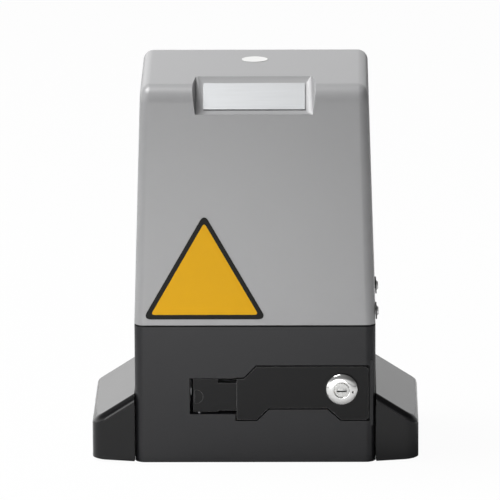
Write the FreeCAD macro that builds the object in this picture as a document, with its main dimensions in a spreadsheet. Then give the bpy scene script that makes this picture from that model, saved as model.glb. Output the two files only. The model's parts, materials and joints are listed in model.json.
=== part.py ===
# Sliding gate motor with a keyed release lever, in millimetres.
# The origin lies at the centre of the mounting face: X to the right, Y back to the gate, Z up.
import FreeCAD
import Part
import Sketcher
import math
import os

os.makedirs("parts", exist_ok=True)
doc = FreeCAD.newDocument("sliding_gate_motor")
sheet = doc.addObject("Spreadsheet::Sheet", "Sizes")

driving = {
    # housing
    "base_width": 185, "base_depth": 150, "base_top": 107.4, "base_wall": 4,
    "base_corner": 8, "floor_thick": 5, "seal_thick": 1.2, "seal_width": 2.4, "seal_inset": 1.6,
    # top cover
    "cover_height": 296.4, "cover_wall": 3, "cover_side_draft": 1.73, "cover_front_lean": 4,
    "cover_back_lean": 3, "cover_top_slope": 1.8, "cover_front_round": 14, "cover_back_round": 10,
    "cover_side_round": 8, "hook_width": 10, "hook_reach": 8, "hook_rise": 12, "hook_thick": 2.6,
    # label facet on the cover's front top corner
    "facet_width": 90, "facet_tilt": 32, "facet_drop": 24.9, "facet_length": 43,
    "facet_wall_slope": 9, "facet_rim": 1, "label_width": 77.7, "label_length": 28.5,
    "label_thick": 1, "label_sink": 2.4,
    # bolt flanges
    "flange_inset": 4.5, "flange_end_gap": 0.8, "flange_thick": 8, "slot_margin": 3.25,
    "slot_rows": 42, "slot_width": 9, "gusset_thick": 5, "gusset_height": 26,
    "gusset_row": 24, "gusset_margin": 4,
    # foot covers
    "foot_reach": 125.5, "foot_gap": 0.8, "foot_front": 74, "foot_back": 60,
    "foot_outer_height": 32.8, "foot_inner_height": 51.8, "foot_draft": 1.3, "foot_corner": 11,
    "foot_back_corner": 4, "foot_edge_round": 3, "foot_wall": 2.2, "foot_lift": 0.5,
    "foot_rib_thick": 3, "foot_rib_row": 12,
    # release lever and its recess
    "lever_thick": 6, "lever_gap": 1, "recess_wall": 4, "recess_margin": 5, "hinge_place": 43,
    "hinge_depth": 7, "hinge_pin_radius": 2, "barrel_radius": 4.5, "cam_lift": 1.5,
    "tongue_thick": 4.5, "lever_low": 33.8, "lever_high": 75.8, "lever_end": 87,
    "slot_low": 38.2, "slot_high": 66.6, "slot_end": 50.2, "dish_radius": 5.4, "dish_sink": 0.7,
    "dish_width": 6.5,
    # lock
    "lock_place": 66.5, "lock_height": 58, "lock_cap_radius": 12.7, "lock_cap_proud": 4.6,
    "lock_cap_round": 2, "lock_face_radius": 8.6,
    "lock_barrel_radius": 9.5, "lock_plug_radius": 5.8, "lock_tail": 9, "lock_nut_width": 22,
    "lock_nut_thick": 2.6, "lock_opening_radius": 13.4, "cam_reach": 18, "cam_width": 7,
    "cam_hub_radius": 7,
    "cam_thick": 2.4,
    # gear train
    "wheel_place": 43, "gear_module": 2, "wheel_teeth": 30, "wheel_width": 16,
    "worm_pitch_radius": 13, "worm_turns": 6, "pinion_module": 4, "pinion_teeth": 16,
    "pinion_width": 28, "pinion_gap": 4, "pinion_washer_thick": 3,
    "pinion_screw_radius": 7.5, "pinion_screw_thick": 5.3, "shaft_radius": 10, "output_height": 52.4,
    "shaft_collar_radius": 13, "bearing_radius": 23.5, "bearing_width": 14, "seal_radius": 20,
    "oil_seal_width": 8, "boss_proud": 5, "boss_length": 38,
    "running_gap": 0.05, "seat_slip": 0.02, "seat_gap": 0.3, "fit_gap": 0.4,
    # gearcase
    "case_left": 84, "case_fore": 27, "case_aft": 19, "case_top": 92, "case_wall": 6,
    "tower_radius": 27, "case_flange_radius": 52, "case_flange_thick": 6, "lid_thick": 4,
    "lid_boss_radius": 29,
    # motor
    "worm_shaft_radius": 8.5, "worm_bearing_radius": 20, "worm_bearing_width": 12,
    "worm_bearing_low": 14, "rotor_radius": 28, "rotor_low": 126, "rotor_length": 60,
    "stator_radius": 45, "air_gap": 0.6, "winding_reach": 9, "motor_radius": 50,
    "shield_thick": 12, "motor_top": 216, "motor_clear": 1.3, "fin_count": 24,
    "fin_height": 3, "fin_thick": 2,
    # plunger
    "plunger_radius": 4, "plunger_collar_radius": 7, "plunger_collar_thick": 3,
    "spring_radius": 5.6, "spring_wire": 0.7, "spring_turns": 6,
    # control parts
    "post_place": 58, "post_setback": 5.5, "post_radius": 5, "post_top": 100,
    "post_screw_radius": 2.4, "post_screw_thick": 2.4, "board_width": 104, "board_height": 92,
    "board_thick": 1.6, "board_low": 118, "carrier_thick": 3, "carrier_rim": 3, "standoff": 4,
    "standoff_inset": 5, "terminal_pitch": 25, "terminal_length": 22, "terminal_height": 10,
    "terminal_proud": 8, "relay_pitch": 22, "relay_length": 19, "relay_height": 16,
    "relay_proud": 7, "button_case_width": 12, "button_case_proud": 4,
    "button_radius": 2.6, "button_length": 4, "button_travel": 0.5,
    "capacitor_place": 62, "capacitor_depth": 28, "capacitor_radius": 16, "capacitor_length": 74,
    "clip_height": 12, "clip_wall": 2,
    "transformer_width": 30, "transformer_length": 40, "transformer_height": 38,
    "cable_place": 60, "cable_depth": -18, "cable_radius": 12.5, "cable_collar_wall": 4,
    "cable_collar_height": 16,
    # limit switch
    "limit_width": 44, "limit_tall": 13, "limit_deep": 18, "arm_pivot": 8,
    "arm_radius": 2.2, "arm_length": 48, "arm_hub_radius": 5.5,
    # cover screws
    "screw_height": 117, "screw_inset": 13, "screw_back": 18, "screw_radius": 2.5,
    "screw_head_radius": 4, "screw_head_thick": 2.2, "washer_radius": 6.6, "washer_thick": 1.6,
    "lug_width": 12, "lug_thick": 6, "lug_rise": 18,
}
for row, (alias, value) in enumerate(driving.items(), start=1):
    sheet.set("A%d" % row, alias)
    sheet.set("B%d" % row, str(value))
    sheet.setAlias("B%d" % row, alias)
doc.recompute()


def size(expression):
    """Value of an expression in the names of the sheet."""
    return float(sheet.evalExpression(bind(expression)))


def bind(expression):
    """Put the sheet's name before each of its aliases."""
    word = ""
    bound = ""
    for letter in str(expression) + " ":
        if letter.isalnum() or letter in "_.":
            word += letter
            continue
        bound += "Sizes." + word if word in driving else word
        bound += letter
        word = ""
    return bound.strip()


def place(thing, at, direction=None):
    """Bind the place of an object; direction is the way that its Z axis points."""
    if direction:
        turn = FreeCAD.Rotation(FreeCAD.Vector(0, 0, 1), FreeCAD.Vector(*direction))
        thing.Placement = FreeCAD.Placement(FreeCAD.Vector(), turn)
    for letter, where in zip("xyz", at):
        thing.setExpression("Placement.Base." + letter, bind(where))
    return thing


def box(name, low, high):
    """Block between two corners, each of three expressions."""
    block = doc.addObject("Part::Box", name)
    for side, first, last in zip(("Length", "Width", "Height"), low, high):
        block.setExpression(side, bind("(%s) - (%s)" % (last, first)))
    return place(block, low)


def rod(name, at, direction, radius, length):
    """Cylinder from a point along a direction."""
    cylinder = doc.addObject("Part::Cylinder", name)
    cylinder.setExpression("Radius", bind(radius))
    cylinder.setExpression("Height", bind(length))
    return place(cylinder, at, direction)


def cone(name, at, direction, first, last, length):
    """Cone between two radii."""
    shape = doc.addObject("Part::Cone", name)
    shape.setExpression("Radius1", bind(first))
    shape.setExpression("Radius2", bind(last))
    shape.setExpression("Height", bind(length))
    return place(shape, at, direction)


def fuse(name, *pieces):
    union = doc.addObject("Part::MultiFuse", name)
    union.Shapes = list(pieces)
    union.Refine = True
    return union


def cut(name, base, *tools):
    tool = tools[0]
    if len(tools) > 1:
        tool = fuse(name + "Tools", *tools)
    result = doc.addObject("Part::Cut", name)
    result.Base = base
    result.Tool = tool
    result.Refine = True
    return result


def group(name, *pieces):
    """Several separate solids in one node."""
    bundle = doc.addObject("Part::Compound", name)
    bundle.Links = list(pieces)
    return bundle


def sketch(body, name, plane, corners, offset="0"):
    """Closed outline on an origin plane of the body; its corners are pairs of expressions."""
    outline = body.newObject("Sketcher::SketchObject", name)
    origin = [f for f in body.Origin.OriginFeatures if f.Role == plane][0]
    outline.AttachmentSupport = [(origin, "")]
    outline.MapMode = "FlatFace"
    outline.setExpression("AttachmentOffset.Base.z", bind(offset))
    points = [FreeCAD.Vector(size(across), size(up), 0) for across, up in corners]
    for number, point in enumerate(points):
        following = points[(number + 1) % len(points)]
        outline.addGeometry(Part.LineSegment(point, following), False)
    for number in range(len(points)):
        following = (number + 1) % len(points)
        outline.addConstraint(Sketcher.Constraint("Coincident", number, 2, following, 1))
    for number, (across, up) in enumerate(corners):
        for kind, expression, now in (("DistanceX", across, points[number].x),
                                      ("DistanceY", up, points[number].y)):
            rule = outline.addConstraint(Sketcher.Constraint(kind, -1, 1, number, 1, now))
            outline.setExpression("Constraints[%d]" % rule, bind(expression))
    return outline


def pad(body, name, profile, length, middle=False, backwards=False):
    feature = body.newObject("PartDesign::Pad", name)
    feature.Profile = profile
    feature.setExpression("Length", bind(length))
    feature.Midplane = middle
    feature.Reversed = backwards
    doc.recompute()
    return feature


def picked(feature, kind, test):
    """Names of the edges or faces of a feature that pass a test."""
    things = feature.Shape.Edges if kind == "Edge" else feature.Shape.Faces
    return ["%s%d" % (kind, number) for number, thing in enumerate(things, 1) if test(thing)]


def fillet(body, name, base, edges, radius):
    feature = body.newObject("PartDesign::Fillet", name)
    feature.Base = (base, edges)
    feature.setExpression("Radius", bind(radius))
    doc.recompute()
    return feature


def upright(edge):
    """A straight edge that stands within 20 degrees of vertical."""
    if not isinstance(edge.Curve, Part.Line):
        return False
    return abs(edge.tangentAt(edge.FirstParameter).z) > math.cos(math.radians(20))


def along(edge, axis):
    if not isinstance(edge.Curve, Part.Line):
        return False
    return abs(edge.tangentAt(edge.FirstParameter).dot(FreeCAD.Vector(*axis))) > 0.999


def block(name, low, high, radius):
    """Body with rounded vertical corners between two corners."""
    body = doc.addObject("PartDesign::Body", name)
    corners = [(low[0], low[1]), (high[0], low[1]), (high[0], high[1]), (low[0], high[1])]
    profile = sketch(body, name + "Plan", "XY_Plane", corners, low[2])
    base = pad(body, name + "Pad", profile, "(%s) - (%s)" % (high[2], low[2]))
    fillet(body, name + "Corners", base, picked(base, "Edge", upright), radius)
    return body


def plate(name, corners, front, back):
    """Body with an outline in X and Z between two places in Y."""
    body = doc.addObject("PartDesign::Body", name)
    profile = sketch(body, name + "Outline", "XZ_Plane", corners, "-(%s)" % front)
    pad(body, name + "Pad", profile, "(%s) - (%s)" % (back, front), backwards=True)
    return body


def turnedBody(name, corners, at, direction):
    """Body turned round its Z axis; its corners are pairs of radius and height."""
    body = doc.addObject("PartDesign::Body", name)
    profile = sketch(body, name + "Profile", "XZ_Plane", corners)
    turning = body.newObject("PartDesign::Revolution", name + "Turning")
    turning.Profile = profile
    turning.ReferenceAxis = (profile, ["V_Axis"])
    turning.Angle = 360
    doc.recompute()
    return place(body, at, direction)


right, front, back, up = ((1, 0, 0), (0, -1, 0), (0, 1, 0), (0, 0, 1))
half_depth = "base_depth / 2"
face = "-base_depth / 2"
# Behind the back wall lie the pinion and in front of it the motor's axis
bearing_back = "(base_depth / 2 + boss_proud)"
bearing_front = "(%s - boss_length)" % bearing_back
pinion_start = "(%s + pinion_gap)" % bearing_back
axis_depth = ("(base_depth / 2 - tan(cover_back_lean) * (motor_top - base_top)"
              " - cover_wall - motor_radius - motor_clear)")
case_front = "(%s - case_fore)" % axis_depth
case_back = "(%s + case_aft)" % axis_depth
screw_front = "(-base_depth / 2 + screw_inset)"
flange_reach = "(foot_reach - flange_inset)"
slot_spread = "((base_width / 2 + %s) / 2)" % flange_reach
slot_length = "(%s - base_width / 2 - 2 * slot_margin)" % flange_reach

# Base casting: rounded box with a floor and a recess for the lever; flanges with gussets beside it
outer = block("baseOuter", ("-base_width / 2", "-base_depth / 2", "0"),
              ("base_width / 2", "base_depth / 2", "base_top"), "base_corner")
inner = block("baseInner",
              ("-base_width / 2 + base_wall", "-base_depth / 2 + base_wall", "floor_thick"),
              ("base_width / 2 - base_wall", "base_depth / 2 - base_wall", "base_top + 1"),
              "base_corner - base_wall")
shell = cut("baseShell", outer, inner)
flange_end = "(foot_back - foot_wall - flange_end_gap)"
flange = block("flangePlate", ("-" + flange_reach, "-" + flange_end, "0"),
               (flange_reach, flange_end, "flange_thick"), "base_corner")
flange_parts = cut("flangeSides", flange,
                   box("flangeMiddle", ("-base_width / 2", "-base_depth / 2", "-1"),
                       ("base_width / 2", "base_depth / 2", "flange_thick + 1")))
gussets = []
for side in (-1, 1):
    for gusset_row in (-1, 1):
        corner = "%d * base_width / 2" % side
        tip = "%d * (%s - gusset_margin)" % (side, flange_reach)
        near = "%d * gusset_row - gusset_thick / 2" % gusset_row
        gussets.append(plate("gusset%d%d" % (side + 1, gusset_row + 1),
                             [(corner, "1"), (tip, "1"), (tip, "flange_thick"),
                              (corner, "flange_thick + gusset_height")],
                             near, near + " + gusset_thick"))
recess_back = "-base_depth / 2 + lever_thick + recess_wall"
recess_block = box("recessBlock",
                   ("-slot_end - recess_margin", "-base_depth / 2 + 1", "lever_low - recess_margin"),
                   ("base_width / 2 - base_wall / 2", recess_back, "lever_high + recess_margin"))
bearing_boss = rod("bearingBoss", ("-wheel_place", bearing_front, "output_height"), back,
                   "bearing_radius + case_wall", "boss_length")
cable_collar = rod("cableCollar", ("cable_place", "cable_depth", "1"), up,
                   "cable_radius + cable_collar_wall", "cable_collar_height - 1")
# The board stands half-way between the motor and the cover's front wall
board_stack = "(carrier_thick + standoff + board_thick + terminal_proud)"
motor_front = "(%s - motor_radius)" % axis_depth
board_space = ("(%s + base_depth / 2 - cover_wall - %s"
               " - tan(cover_front_lean) * (board_low + terminal_height - base_top))"
               % (motor_front, board_stack))
carrier_face = "(%s - carrier_thick - %s / 2)" % (motor_front, board_space)
post_depth = "(%s + post_setback)" % carrier_face
posts = [rod("post%d" % side, ("%d * post_place" % side, post_depth, "1"), up,
             "post_radius", "post_top - 1") for side in (-1, 1)]
lugs = []
for number, lug_place in enumerate((screw_front, "screw_back")):
    lugs.append(box("lug%d" % number,
                    ("base_width / 2 - base_wall - lug_thick", lug_place + " - lug_width / 2",
                     "base_top - 30"),
                    ("base_width / 2 - base_wall - 0.9", lug_place + " + lug_width / 2",
                     "base_top + lug_rise")))
    lugs.append(box("lugFoot%d" % number,
                    ("base_width / 2 - base_wall - lug_thick", lug_place + " - lug_width / 2",
                     "base_top - 30"),
                    ("base_width / 2 - base_wall / 2", lug_place + " + lug_width / 2",
                     "base_top - 6")))
solid_base = fuse("baseSolid", shell, recess_block, bearing_boss, cable_collar,
                  *(posts + lugs))

lever_outline = [
    ("-14.1", "slot_high - 0.4"), ("-8.4", "slot_high - 0.4"), ("1", "lever_high"),
    ("lever_end", "lever_high"), ("lever_end", "lever_low"), ("lever_end - 21", "lever_low"),
    ("lever_end - 31", "lever_low + 9"), ("10.2", "lever_low + 9"), ("1.2", "lever_low"),
    ("-14.1", "lever_low")]
recess_outline = [
    ("-14.1 - lever_gap", "slot_high - 0.4 + lever_gap"),
    ("-8.4 - lever_gap * 0.4", "slot_high - 0.4 + lever_gap"),
    ("1 - lever_gap * 0.4", "lever_high + lever_gap"),
    ("lever_end + lever_gap", "lever_high + lever_gap"),
    ("lever_end + lever_gap", "lever_low - lever_gap"),
    ("lever_end - 21 - lever_gap * 0.4", "lever_low - lever_gap"),
    ("lever_end - 31 - lever_gap * 0.4", "lever_low + 9 - lever_gap"),
    ("10.2 + lever_gap * 0.4", "lever_low + 9 - lever_gap"),
    ("1.2 + lever_gap * 0.4", "lever_low - lever_gap"),
    ("-14.1 - lever_gap", "lever_low - lever_gap")]
recess = plate("leverRecess", recess_outline, face + " - 1", face + " + lever_thick")
tongue_slot = box("tongueSlot", ("-slot_end", face + " - 1", "slot_low"),
                  ("-13", recess_back + " + 1", "slot_high"))
lock_opening = rod("lockOpening", ("lock_place", face, "lock_height"), back,
                   "lock_opening_radius", "lever_thick + recess_wall + 1")
cam_opening = box("camOpening",
                  ("lock_place - cam_width / 2 - 1", face, "lock_height - cam_reach - 1.4"),
                  ("lock_place + cam_width / 2 + 1", recess_back + " + 1", "lock_height"))
pin_low = "slot_low - 8"
pin_length = "slot_high - slot_low + 12"
pin_hole = rod("pinHole", ("-hinge_place", face + " + hinge_depth", pin_low), up,
               "hinge_pin_radius + seat_slip", pin_length)
bolt_slots = []
for side in (-1, 1):
    for slot_row in (-1, 1):
        centre = ("%d * %s" % (side, slot_spread), "%d * slot_rows" % slot_row)
        straight = "(%s - slot_width) / 2" % slot_length
        bolt_slots.append(box("slotMiddle%d%d" % (side + 1, slot_row + 1),
                              (centre[0] + " - " + straight, centre[1] + " - slot_width / 2", "-1"),
                              (centre[0] + " + " + straight, centre[1] + " + slot_width / 2",
                               "flange_thick + 1")))
        for end in ("-", "+"):
            bolt_slots.append(rod("slotEnd", (centre[0] + end + straight, centre[1], "-1"), up,
                                  "slot_width / 2", "flange_thick + 2"))
cable_bore = rod("cableBore", ("cable_place", "cable_depth", "-1"), up, "cable_radius",
                 "cable_collar_height + 2")
bearing_pocket = rod("bearingPocket",
                     ("-wheel_place", bearing_front + " - 1", "output_height"), back,
                     "bearing_radius + running_gap", "bearing_width + 3")
seal_pocket = rod("sealPocket", ("-wheel_place", bearing_front + " + bearing_width",
                                 "output_height"), back, "seal_radius + running_gap",
                  "boss_length - bearing_width + 1")
screw_holes = [rod("screwHole%d" % number,
                   ("base_width / 2 - base_wall - lug_thick - 1", hole_place, "screw_height"),
                   right, "screw_radius + running_gap", "lug_thick + 4")
               for number, hole_place in enumerate((screw_front, "screw_back"))]
base_casting = cut("base_casting", solid_base, recess, tongue_slot, lock_opening, cam_opening,
                   pin_hole, cable_bore, bearing_pocket, seal_pocket, *screw_holes)
bolt_flanges = cut("bolt_flanges", fuse("flangeSolid", flange_parts, *gussets), *bolt_slots)

# Seal between base and cover
seal_outer = block("sealOuter", ("-base_width / 2 + seal_inset", "-base_depth / 2 + seal_inset",
                                 "base_top"),
                   ("base_width / 2 - seal_inset", "base_depth / 2 - seal_inset",
                    "base_top + seal_thick"), "base_corner - seal_inset")
seal_inner = block("sealInner",
                   ("-base_width / 2 + seal_inset + seal_width",
                    "-base_depth / 2 + seal_inset + seal_width", "base_top - 1"),
                   ("base_width / 2 - seal_inset - seal_width",
                    "base_depth / 2 - seal_inset - seal_width", "base_top + seal_thick + 1"),
                   "base_corner - seal_inset - seal_width")
cover_seal = cut("cover_seal", seal_outer, seal_inner)


def coverBlock(name, wall, bottom):
    """Drafted block with rounded top, its sides set in by a wall."""
    body = doc.addObject("PartDesign::Body", name)
    lean = "tan(cover_front_lean)"
    rear = "tan(cover_back_lean)"
    slope = "tan(cover_top_slope)"
    low = "(%s)" % bottom
    rise = "(%s - base_top)" % low
    front_low = "(-base_depth / 2 + %s + %s * %s)" % (wall, lean, rise)
    back_low = "(base_depth / 2 - %s - %s * %s)" % (wall, rear, rise)
    back_high = "(base_depth / 2 - %s - %s * (cover_height - base_top))" % (wall, rear)
    top = "(cover_height - %s)" % wall
    depth = "((base_depth - 2 * %s - (%s + %s) * (cover_height - base_top)) / (1 - %s * %s))" % (
        wall, lean, rear, lean, slope)
    front_high = "(%s - %s)" % (back_high, depth)
    corners = [(front_low, low), (back_low, low), (back_high, top),
               (front_high, "%s - %s * %s" % (top, depth, slope))]
    profile = sketch(body, name + "Side", "YZ_Plane", corners)
    base = pad(body, name + "Pad", profile, "base_width - 2 * %s" % wall, middle=True)
    draft = body.newObject("PartDesign::Draft", name + "Draft")
    draft.Base = (base, picked(base, "Face", lambda f: abs(f.normalAt(0, 0).x) > 0.99))
    draft.NeutralPlane = (base, picked(base, "Face", lambda f: f.normalAt(0, 0).z < -0.99))
    draft.Angle = size("cover_side_draft")
    doc.recompute()
    draft.setExpression("Angle", bind("cover_side_draft"))
    doc.recompute()
    half = size("(cover_height + base_top) / 2")

    def topEdge(edge, side):
        middle = edge.CenterOfMass
        return along(edge, (1, 0, 0)) and middle.z > half and middle.y * side > 0

    rounded = fillet(body, name + "FrontRound", draft,
                     picked(draft, "Edge", lambda e: topEdge(e, -1)),
                     "cover_front_round - " + wall)
    rounded = fillet(body, name + "BackRound", rounded,
                     picked(rounded, "Edge", lambda e: topEdge(e, 1)),
                     "cover_back_round - " + wall)
    floor = rounded.Shape.BoundBox.ZMin

    def sideLoop(edge):
        return edge.BoundBox.ZMax > floor + 1 and not along(edge, (1, 0, 0))

    fillet(body, name + "SideRound", rounded, picked(rounded, "Edge", sideLoop),
           "cover_side_round - " + wall)
    return body


# Top cover: drafted shell with a label facet
cover_low = "base_top + seal_thick"
cover_outer = coverBlock("coverOuter", "0", cover_low)
cover_inner = coverBlock("coverInner", "cover_wall", cover_low + " - 1")
facet_low = "(cover_height - facet_drop)"
facet_front = "(-base_depth / 2 + tan(cover_front_lean) * (%s - base_top))" % facet_low


def tray(name, width, length, shift, drop, height, flare):
    """Tilted cutter: a floor of the given size under the facet, opening upwards."""
    body = doc.addObject("PartDesign::Body", name)
    wide = "(%s) / 2 + tan(%s) * (%s)" % (width, flare, height)
    profile = sketch(body, name + "Section", "XZ_Plane",
                     [("-(%s) / 2" % width, "-(%s)" % drop), ("(%s) / 2" % width, "-(%s)" % drop),
                      (wide, "(%s) - (%s)" % (height, drop)),
                      ("-(%s)" % wide, "(%s) - (%s)" % (height, drop))], "-(%s)" % shift)
    pad(body, name + "Pad", profile, length, backwards=True)
    body.Placement = FreeCAD.Placement(
        FreeCAD.Vector(), FreeCAD.Rotation(FreeCAD.Vector(1, 0, 0), size("facet_tilt")))
    body.setExpression("Placement.Rotation.Angle", bind("facet_tilt"))
    body.setExpression("Placement.Base.y", bind(facet_front))
    body.setExpression("Placement.Base.z", bind(facet_low))
    return body


facet_tray = tray("facetTray", "facet_width", "facet_length + 20", "-5", "0", "20",
                  "facet_wall_slope")
label_shift = "(facet_length - label_length) / 2"
label_tray = doc.addObject("Part::Wedge", "labelTray")
for name, expression in (("Xmin", "-facet_width / 2 + facet_rim"),
                         ("Xmax", "facet_width / 2 - facet_rim"),
                         ("Ymin", "0"), ("Ymax", "label_sink"),
                         ("Zmin", "0"), ("Zmax", "facet_length"),
                         ("X2min", "-label_width / 2 - fit_gap"),
                         ("X2max", "label_width / 2 + fit_gap"),
                         ("Z2min", label_shift + " - fit_gap"),
                         ("Z2max", label_shift + " + label_length + fit_gap")):
    label_tray.setExpression(name, bind(expression))
label_tray.Placement = FreeCAD.Placement(
    FreeCAD.Vector(), FreeCAD.Rotation(FreeCAD.Vector(1, 0, 0), size("facet_tilt") - 90))
label_tray.setExpression("Placement.Rotation.Angle", bind("facet_tilt - 90"))
label_tray.setExpression("Placement.Base.y", bind(facet_front))
label_tray.setExpression("Placement.Base.z", bind(facet_low))
facet_backing = tray("facetBacking", "facet_width + 2 * cover_wall", "facet_length + 40", "-15",
                     "label_sink + cover_wall", "40", "facet_wall_slope")
cavity = cut("coverCavity", cover_inner, facet_backing)
cover_holes = [rod("coverHole%d" % number, ("base_width / 2 - 9", hole_place, "screw_height"),
                   right, "screw_radius + 0.4", "12")
               for number, hole_place in enumerate((screw_front, "screw_back"))]
cover_shell = cut("coverShell", cover_outer, cavity, facet_tray, label_tray, *cover_holes)
hooks = []
hook_outer = "-base_width / 2 + base_wall + fit_gap"
for number, hook_place in enumerate((screw_front, "screw_back")):
    hooks.append(box("hook%d" % number,
                     (hook_outer, hook_place + " - hook_width / 2", "base_top - hook_reach"),
                     (hook_outer + " + hook_thick", hook_place + " + hook_width / 2",
                      "base_top + hook_rise")))
    hooks.append(box("hookRoot%d" % number,
                     ("-base_width / 2 + cover_wall / 2", hook_place + " - hook_width / 2",
                      "base_top + seal_thick + hook_thick"),
                     (hook_outer + " + hook_thick", hook_place + " + hook_width / 2",
                      "base_top + hook_rise")))
top_cover = fuse("top_cover", cover_shell, *hooks)
label_plate = tray("label_plate", "label_width", "label_length", label_shift, "label_sink",
                   "label_thick", "0")

# Cover screws and washers
screws = []
washers = []
for number, screw_place in enumerate((screw_front, "screw_back")):
    seat = "base_width / 2 - tan(cover_side_draft) * (screw_height - base_top) + 0.3"
    washer = cut("washer%d" % number,
                 rod("washerDisc%d" % number, (seat, screw_place, "screw_height"), right,
                     "washer_radius", "washer_thick"),
                 rod("washerHole%d" % number, (seat + " - 1", screw_place, "screw_height"), right,
                     "screw_radius + 0.3", "washer_thick + 2"))
    washers.append(washer)
    shank_start = "base_width / 2 - base_wall - lug_thick"
    head_seat = seat + " + washer_thick"
    screws.append(fuse("screw%d" % number,
                       rod("shank%d" % number, (shank_start, screw_place, "screw_height"), right,
                           "screw_radius", "%s - (%s) + 0.5" % (head_seat, shank_start)),
                       cone("head%d" % number, (head_seat, screw_place, "screw_height"), right,
                            "screw_head_radius", "screw_head_radius * 0.7", "screw_head_thick")))
cover_screws = group("cover_screws", *screws)
cover_washers = group("cover_washers", *washers)


def footCover(name, side):
    """Hollow sloping cover over the bolts of one flange."""
    body = doc.addObject("PartDesign::Body", name + "Body")
    near = "%d * (base_width / 2 + foot_gap)" % side
    far = "%d * foot_reach" % side
    far_high = "%d * (foot_reach - foot_draft)" % side
    profile = sketch(body, name + "Profile", "XZ_Plane",
                     [(near, "foot_lift"), (far, "foot_lift"), (far_high, "foot_outer_height"),
                      (near, "foot_inner_height")], "foot_front")
    base = pad(body, name + "Pad", profile, "foot_front + foot_back", backwards=True)
    reach = size("foot_reach - foot_corner / 2")

    def outerCorner(edge, towards):
        middle = edge.CenterOfMass
        return upright(edge) and abs(middle.x) > reach and middle.y * towards > 0

    rounded = fillet(body, name + "FrontCorner", base,
                     picked(base, "Edge", lambda e: outerCorner(e, -1)), "foot_corner")
    rounded = fillet(body, name + "BackCorner", rounded,
                     picked(rounded, "Edge", lambda e: outerCorner(e, 1)), "foot_back_corner")
    low_roof = size("foot_outer_height - 1")

    def roofEdge(edge):
        if along(edge, (0, 1, 0)):
            return edge.CenterOfMass.z > low_roof and abs(edge.CenterOfMass.x) > reach
        return edge.BoundBox.ZMin > low_roof

    rounded = fillet(body, name + "RoofRound", rounded, picked(rounded, "Edge", roofEdge),
                     "foot_edge_round")
    hollow = body.newObject("PartDesign::Thickness", name + "Hollow")
    hollow.Base = (rounded, picked(rounded, "Face", lambda f: f.normalAt(0, 0).z < -0.99
                                   or f.normalAt(0, 0).x * side < -0.99))
    hollow.Reversed = True
    hollow.setExpression("Value", bind("foot_wall"))
    doc.recompute()
    ribs = []
    near_rib = "(base_width / 2 + foot_gap)"
    far_rib = "(foot_reach - foot_draft - foot_edge_round)"
    fall = ("(foot_inner_height - foot_outer_height)"
            " / (foot_reach - foot_draft - base_width / 2 - foot_gap)")
    near_roof = "(foot_inner_height - foot_wall / 2)"
    far_roof = "(%s - (%s - %s) * %s)" % (near_roof, far_rib, near_rib, fall)
    corners = [("%d * %s" % (side, near_rib), "flange_thick"),
               ("%d * %s" % (side, far_rib), "flange_thick"),
               ("%d * %s" % (side, far_rib), far_roof),
               ("%d * %s" % (side, near_rib), near_roof)]
    for row in (-1, 1):
        start = "%d * foot_rib_row - foot_rib_thick / 2" % row
        ribs.append(plate(name + "Rib%d" % (row + 1), corners, start,
                          start + " + foot_rib_thick"))
    return fuse(name, body, *ribs)


left_foot_cover = footCover("left_foot_cover", -1)
right_foot_cover = footCover("right_foot_cover", 1)

# Release lever: keyed plate, tongue and hinge barrel with the cam that pushes the plunger
tongue_front = face + " + hinge_depth - tongue_thick"
plate_body = plate("leverPlate", lever_outline, face, face + " + lever_thick")
tongue = plate("leverTongue",
               [("-hinge_place - barrel_radius", "slot_low + 1.2"),
                ("-28.6", "slot_low + 1.2"), ("-28.6", "slot_low + 2.3"),
                ("-13.6", "slot_low + 2.3"), ("-13.6", "slot_high - 4.2"),
                ("-28.6", "slot_high - 4.2"), ("-28.6", "slot_high - 1.1"),
                ("-hinge_place - barrel_radius", "slot_high - 1.1")],
               tongue_front, face + " + hinge_depth")
barrel_low = "slot_low + 1.2"
barrel_tall = "slot_high - slot_low - 2.3"
steps = 12
cam_points = []
for step in range(steps + 1):
    turned = 90.0 * step / steps
    reach = "(barrel_radius + cam_lift * %g)" % (step / steps)
    cam_points.append(("-hinge_place - %s * sin(%g)" % (reach, turned),
                       face + " + hinge_depth + %s * cos(%g)" % (reach, turned)))
cam_points.append(("-hinge_place - barrel_radius", tongue_front))
cam_points.append(("-hinge_place + barrel_radius", tongue_front))
cam_points.append(("-hinge_place + barrel_radius", face + " + hinge_depth"))
for turned in (60, 30):
    cam_points.append(("-hinge_place + barrel_radius * sin(%d)" % turned,
                       face + " + hinge_depth + barrel_radius * cos(%d)" % turned))
barrel = doc.addObject("PartDesign::Body", "leverBarrel")
barrel_plan = sketch(barrel, "barrelPlan", "XY_Plane", cam_points, barrel_low)
pad(barrel, "barrelPad", barrel_plan, barrel_tall)
lever_solid = fuse("leverSolid", plate_body, tongue, barrel)
dish_left = "(-hinge_place - barrel_radius + 1)"
dish_height = "((slot_low + slot_high) / 2 - 1)"
finger_dish = doc.addObject("Part::MultiCommon", "fingerDish")
finger_dish.Shapes = [
    rod("dishRound", (dish_left + " + dish_width - dish_radius", tongue_front + " - 1",
                      dish_height), back, "dish_radius", "1 + dish_sink"),
    box("dishSide", (dish_left, tongue_front + " - 2", dish_height + " - dish_radius"),
        (dish_left + " + dish_width", tongue_front + " + 2", dish_height + " + dish_radius"))]
lever_pin_bore = rod("leverPinBore", ("-hinge_place", face + " + hinge_depth", "slot_low - 1"), up,
                     "hinge_pin_radius + running_gap", "slot_high - slot_low + 2")
lock_bore = rod("lockBore", ("lock_place", face + " - 1", "lock_height"), back,
                "lock_barrel_radius + seat_slip", "lever_thick + 2")
release_lever = cut("release_lever", lever_solid, finger_dish, lever_pin_bore, lock_bore)
hinge_pin = rod("hinge_pin", ("-hinge_place", face + " + hinge_depth", pin_low), up,
                "hinge_pin_radius", pin_length)

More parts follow.
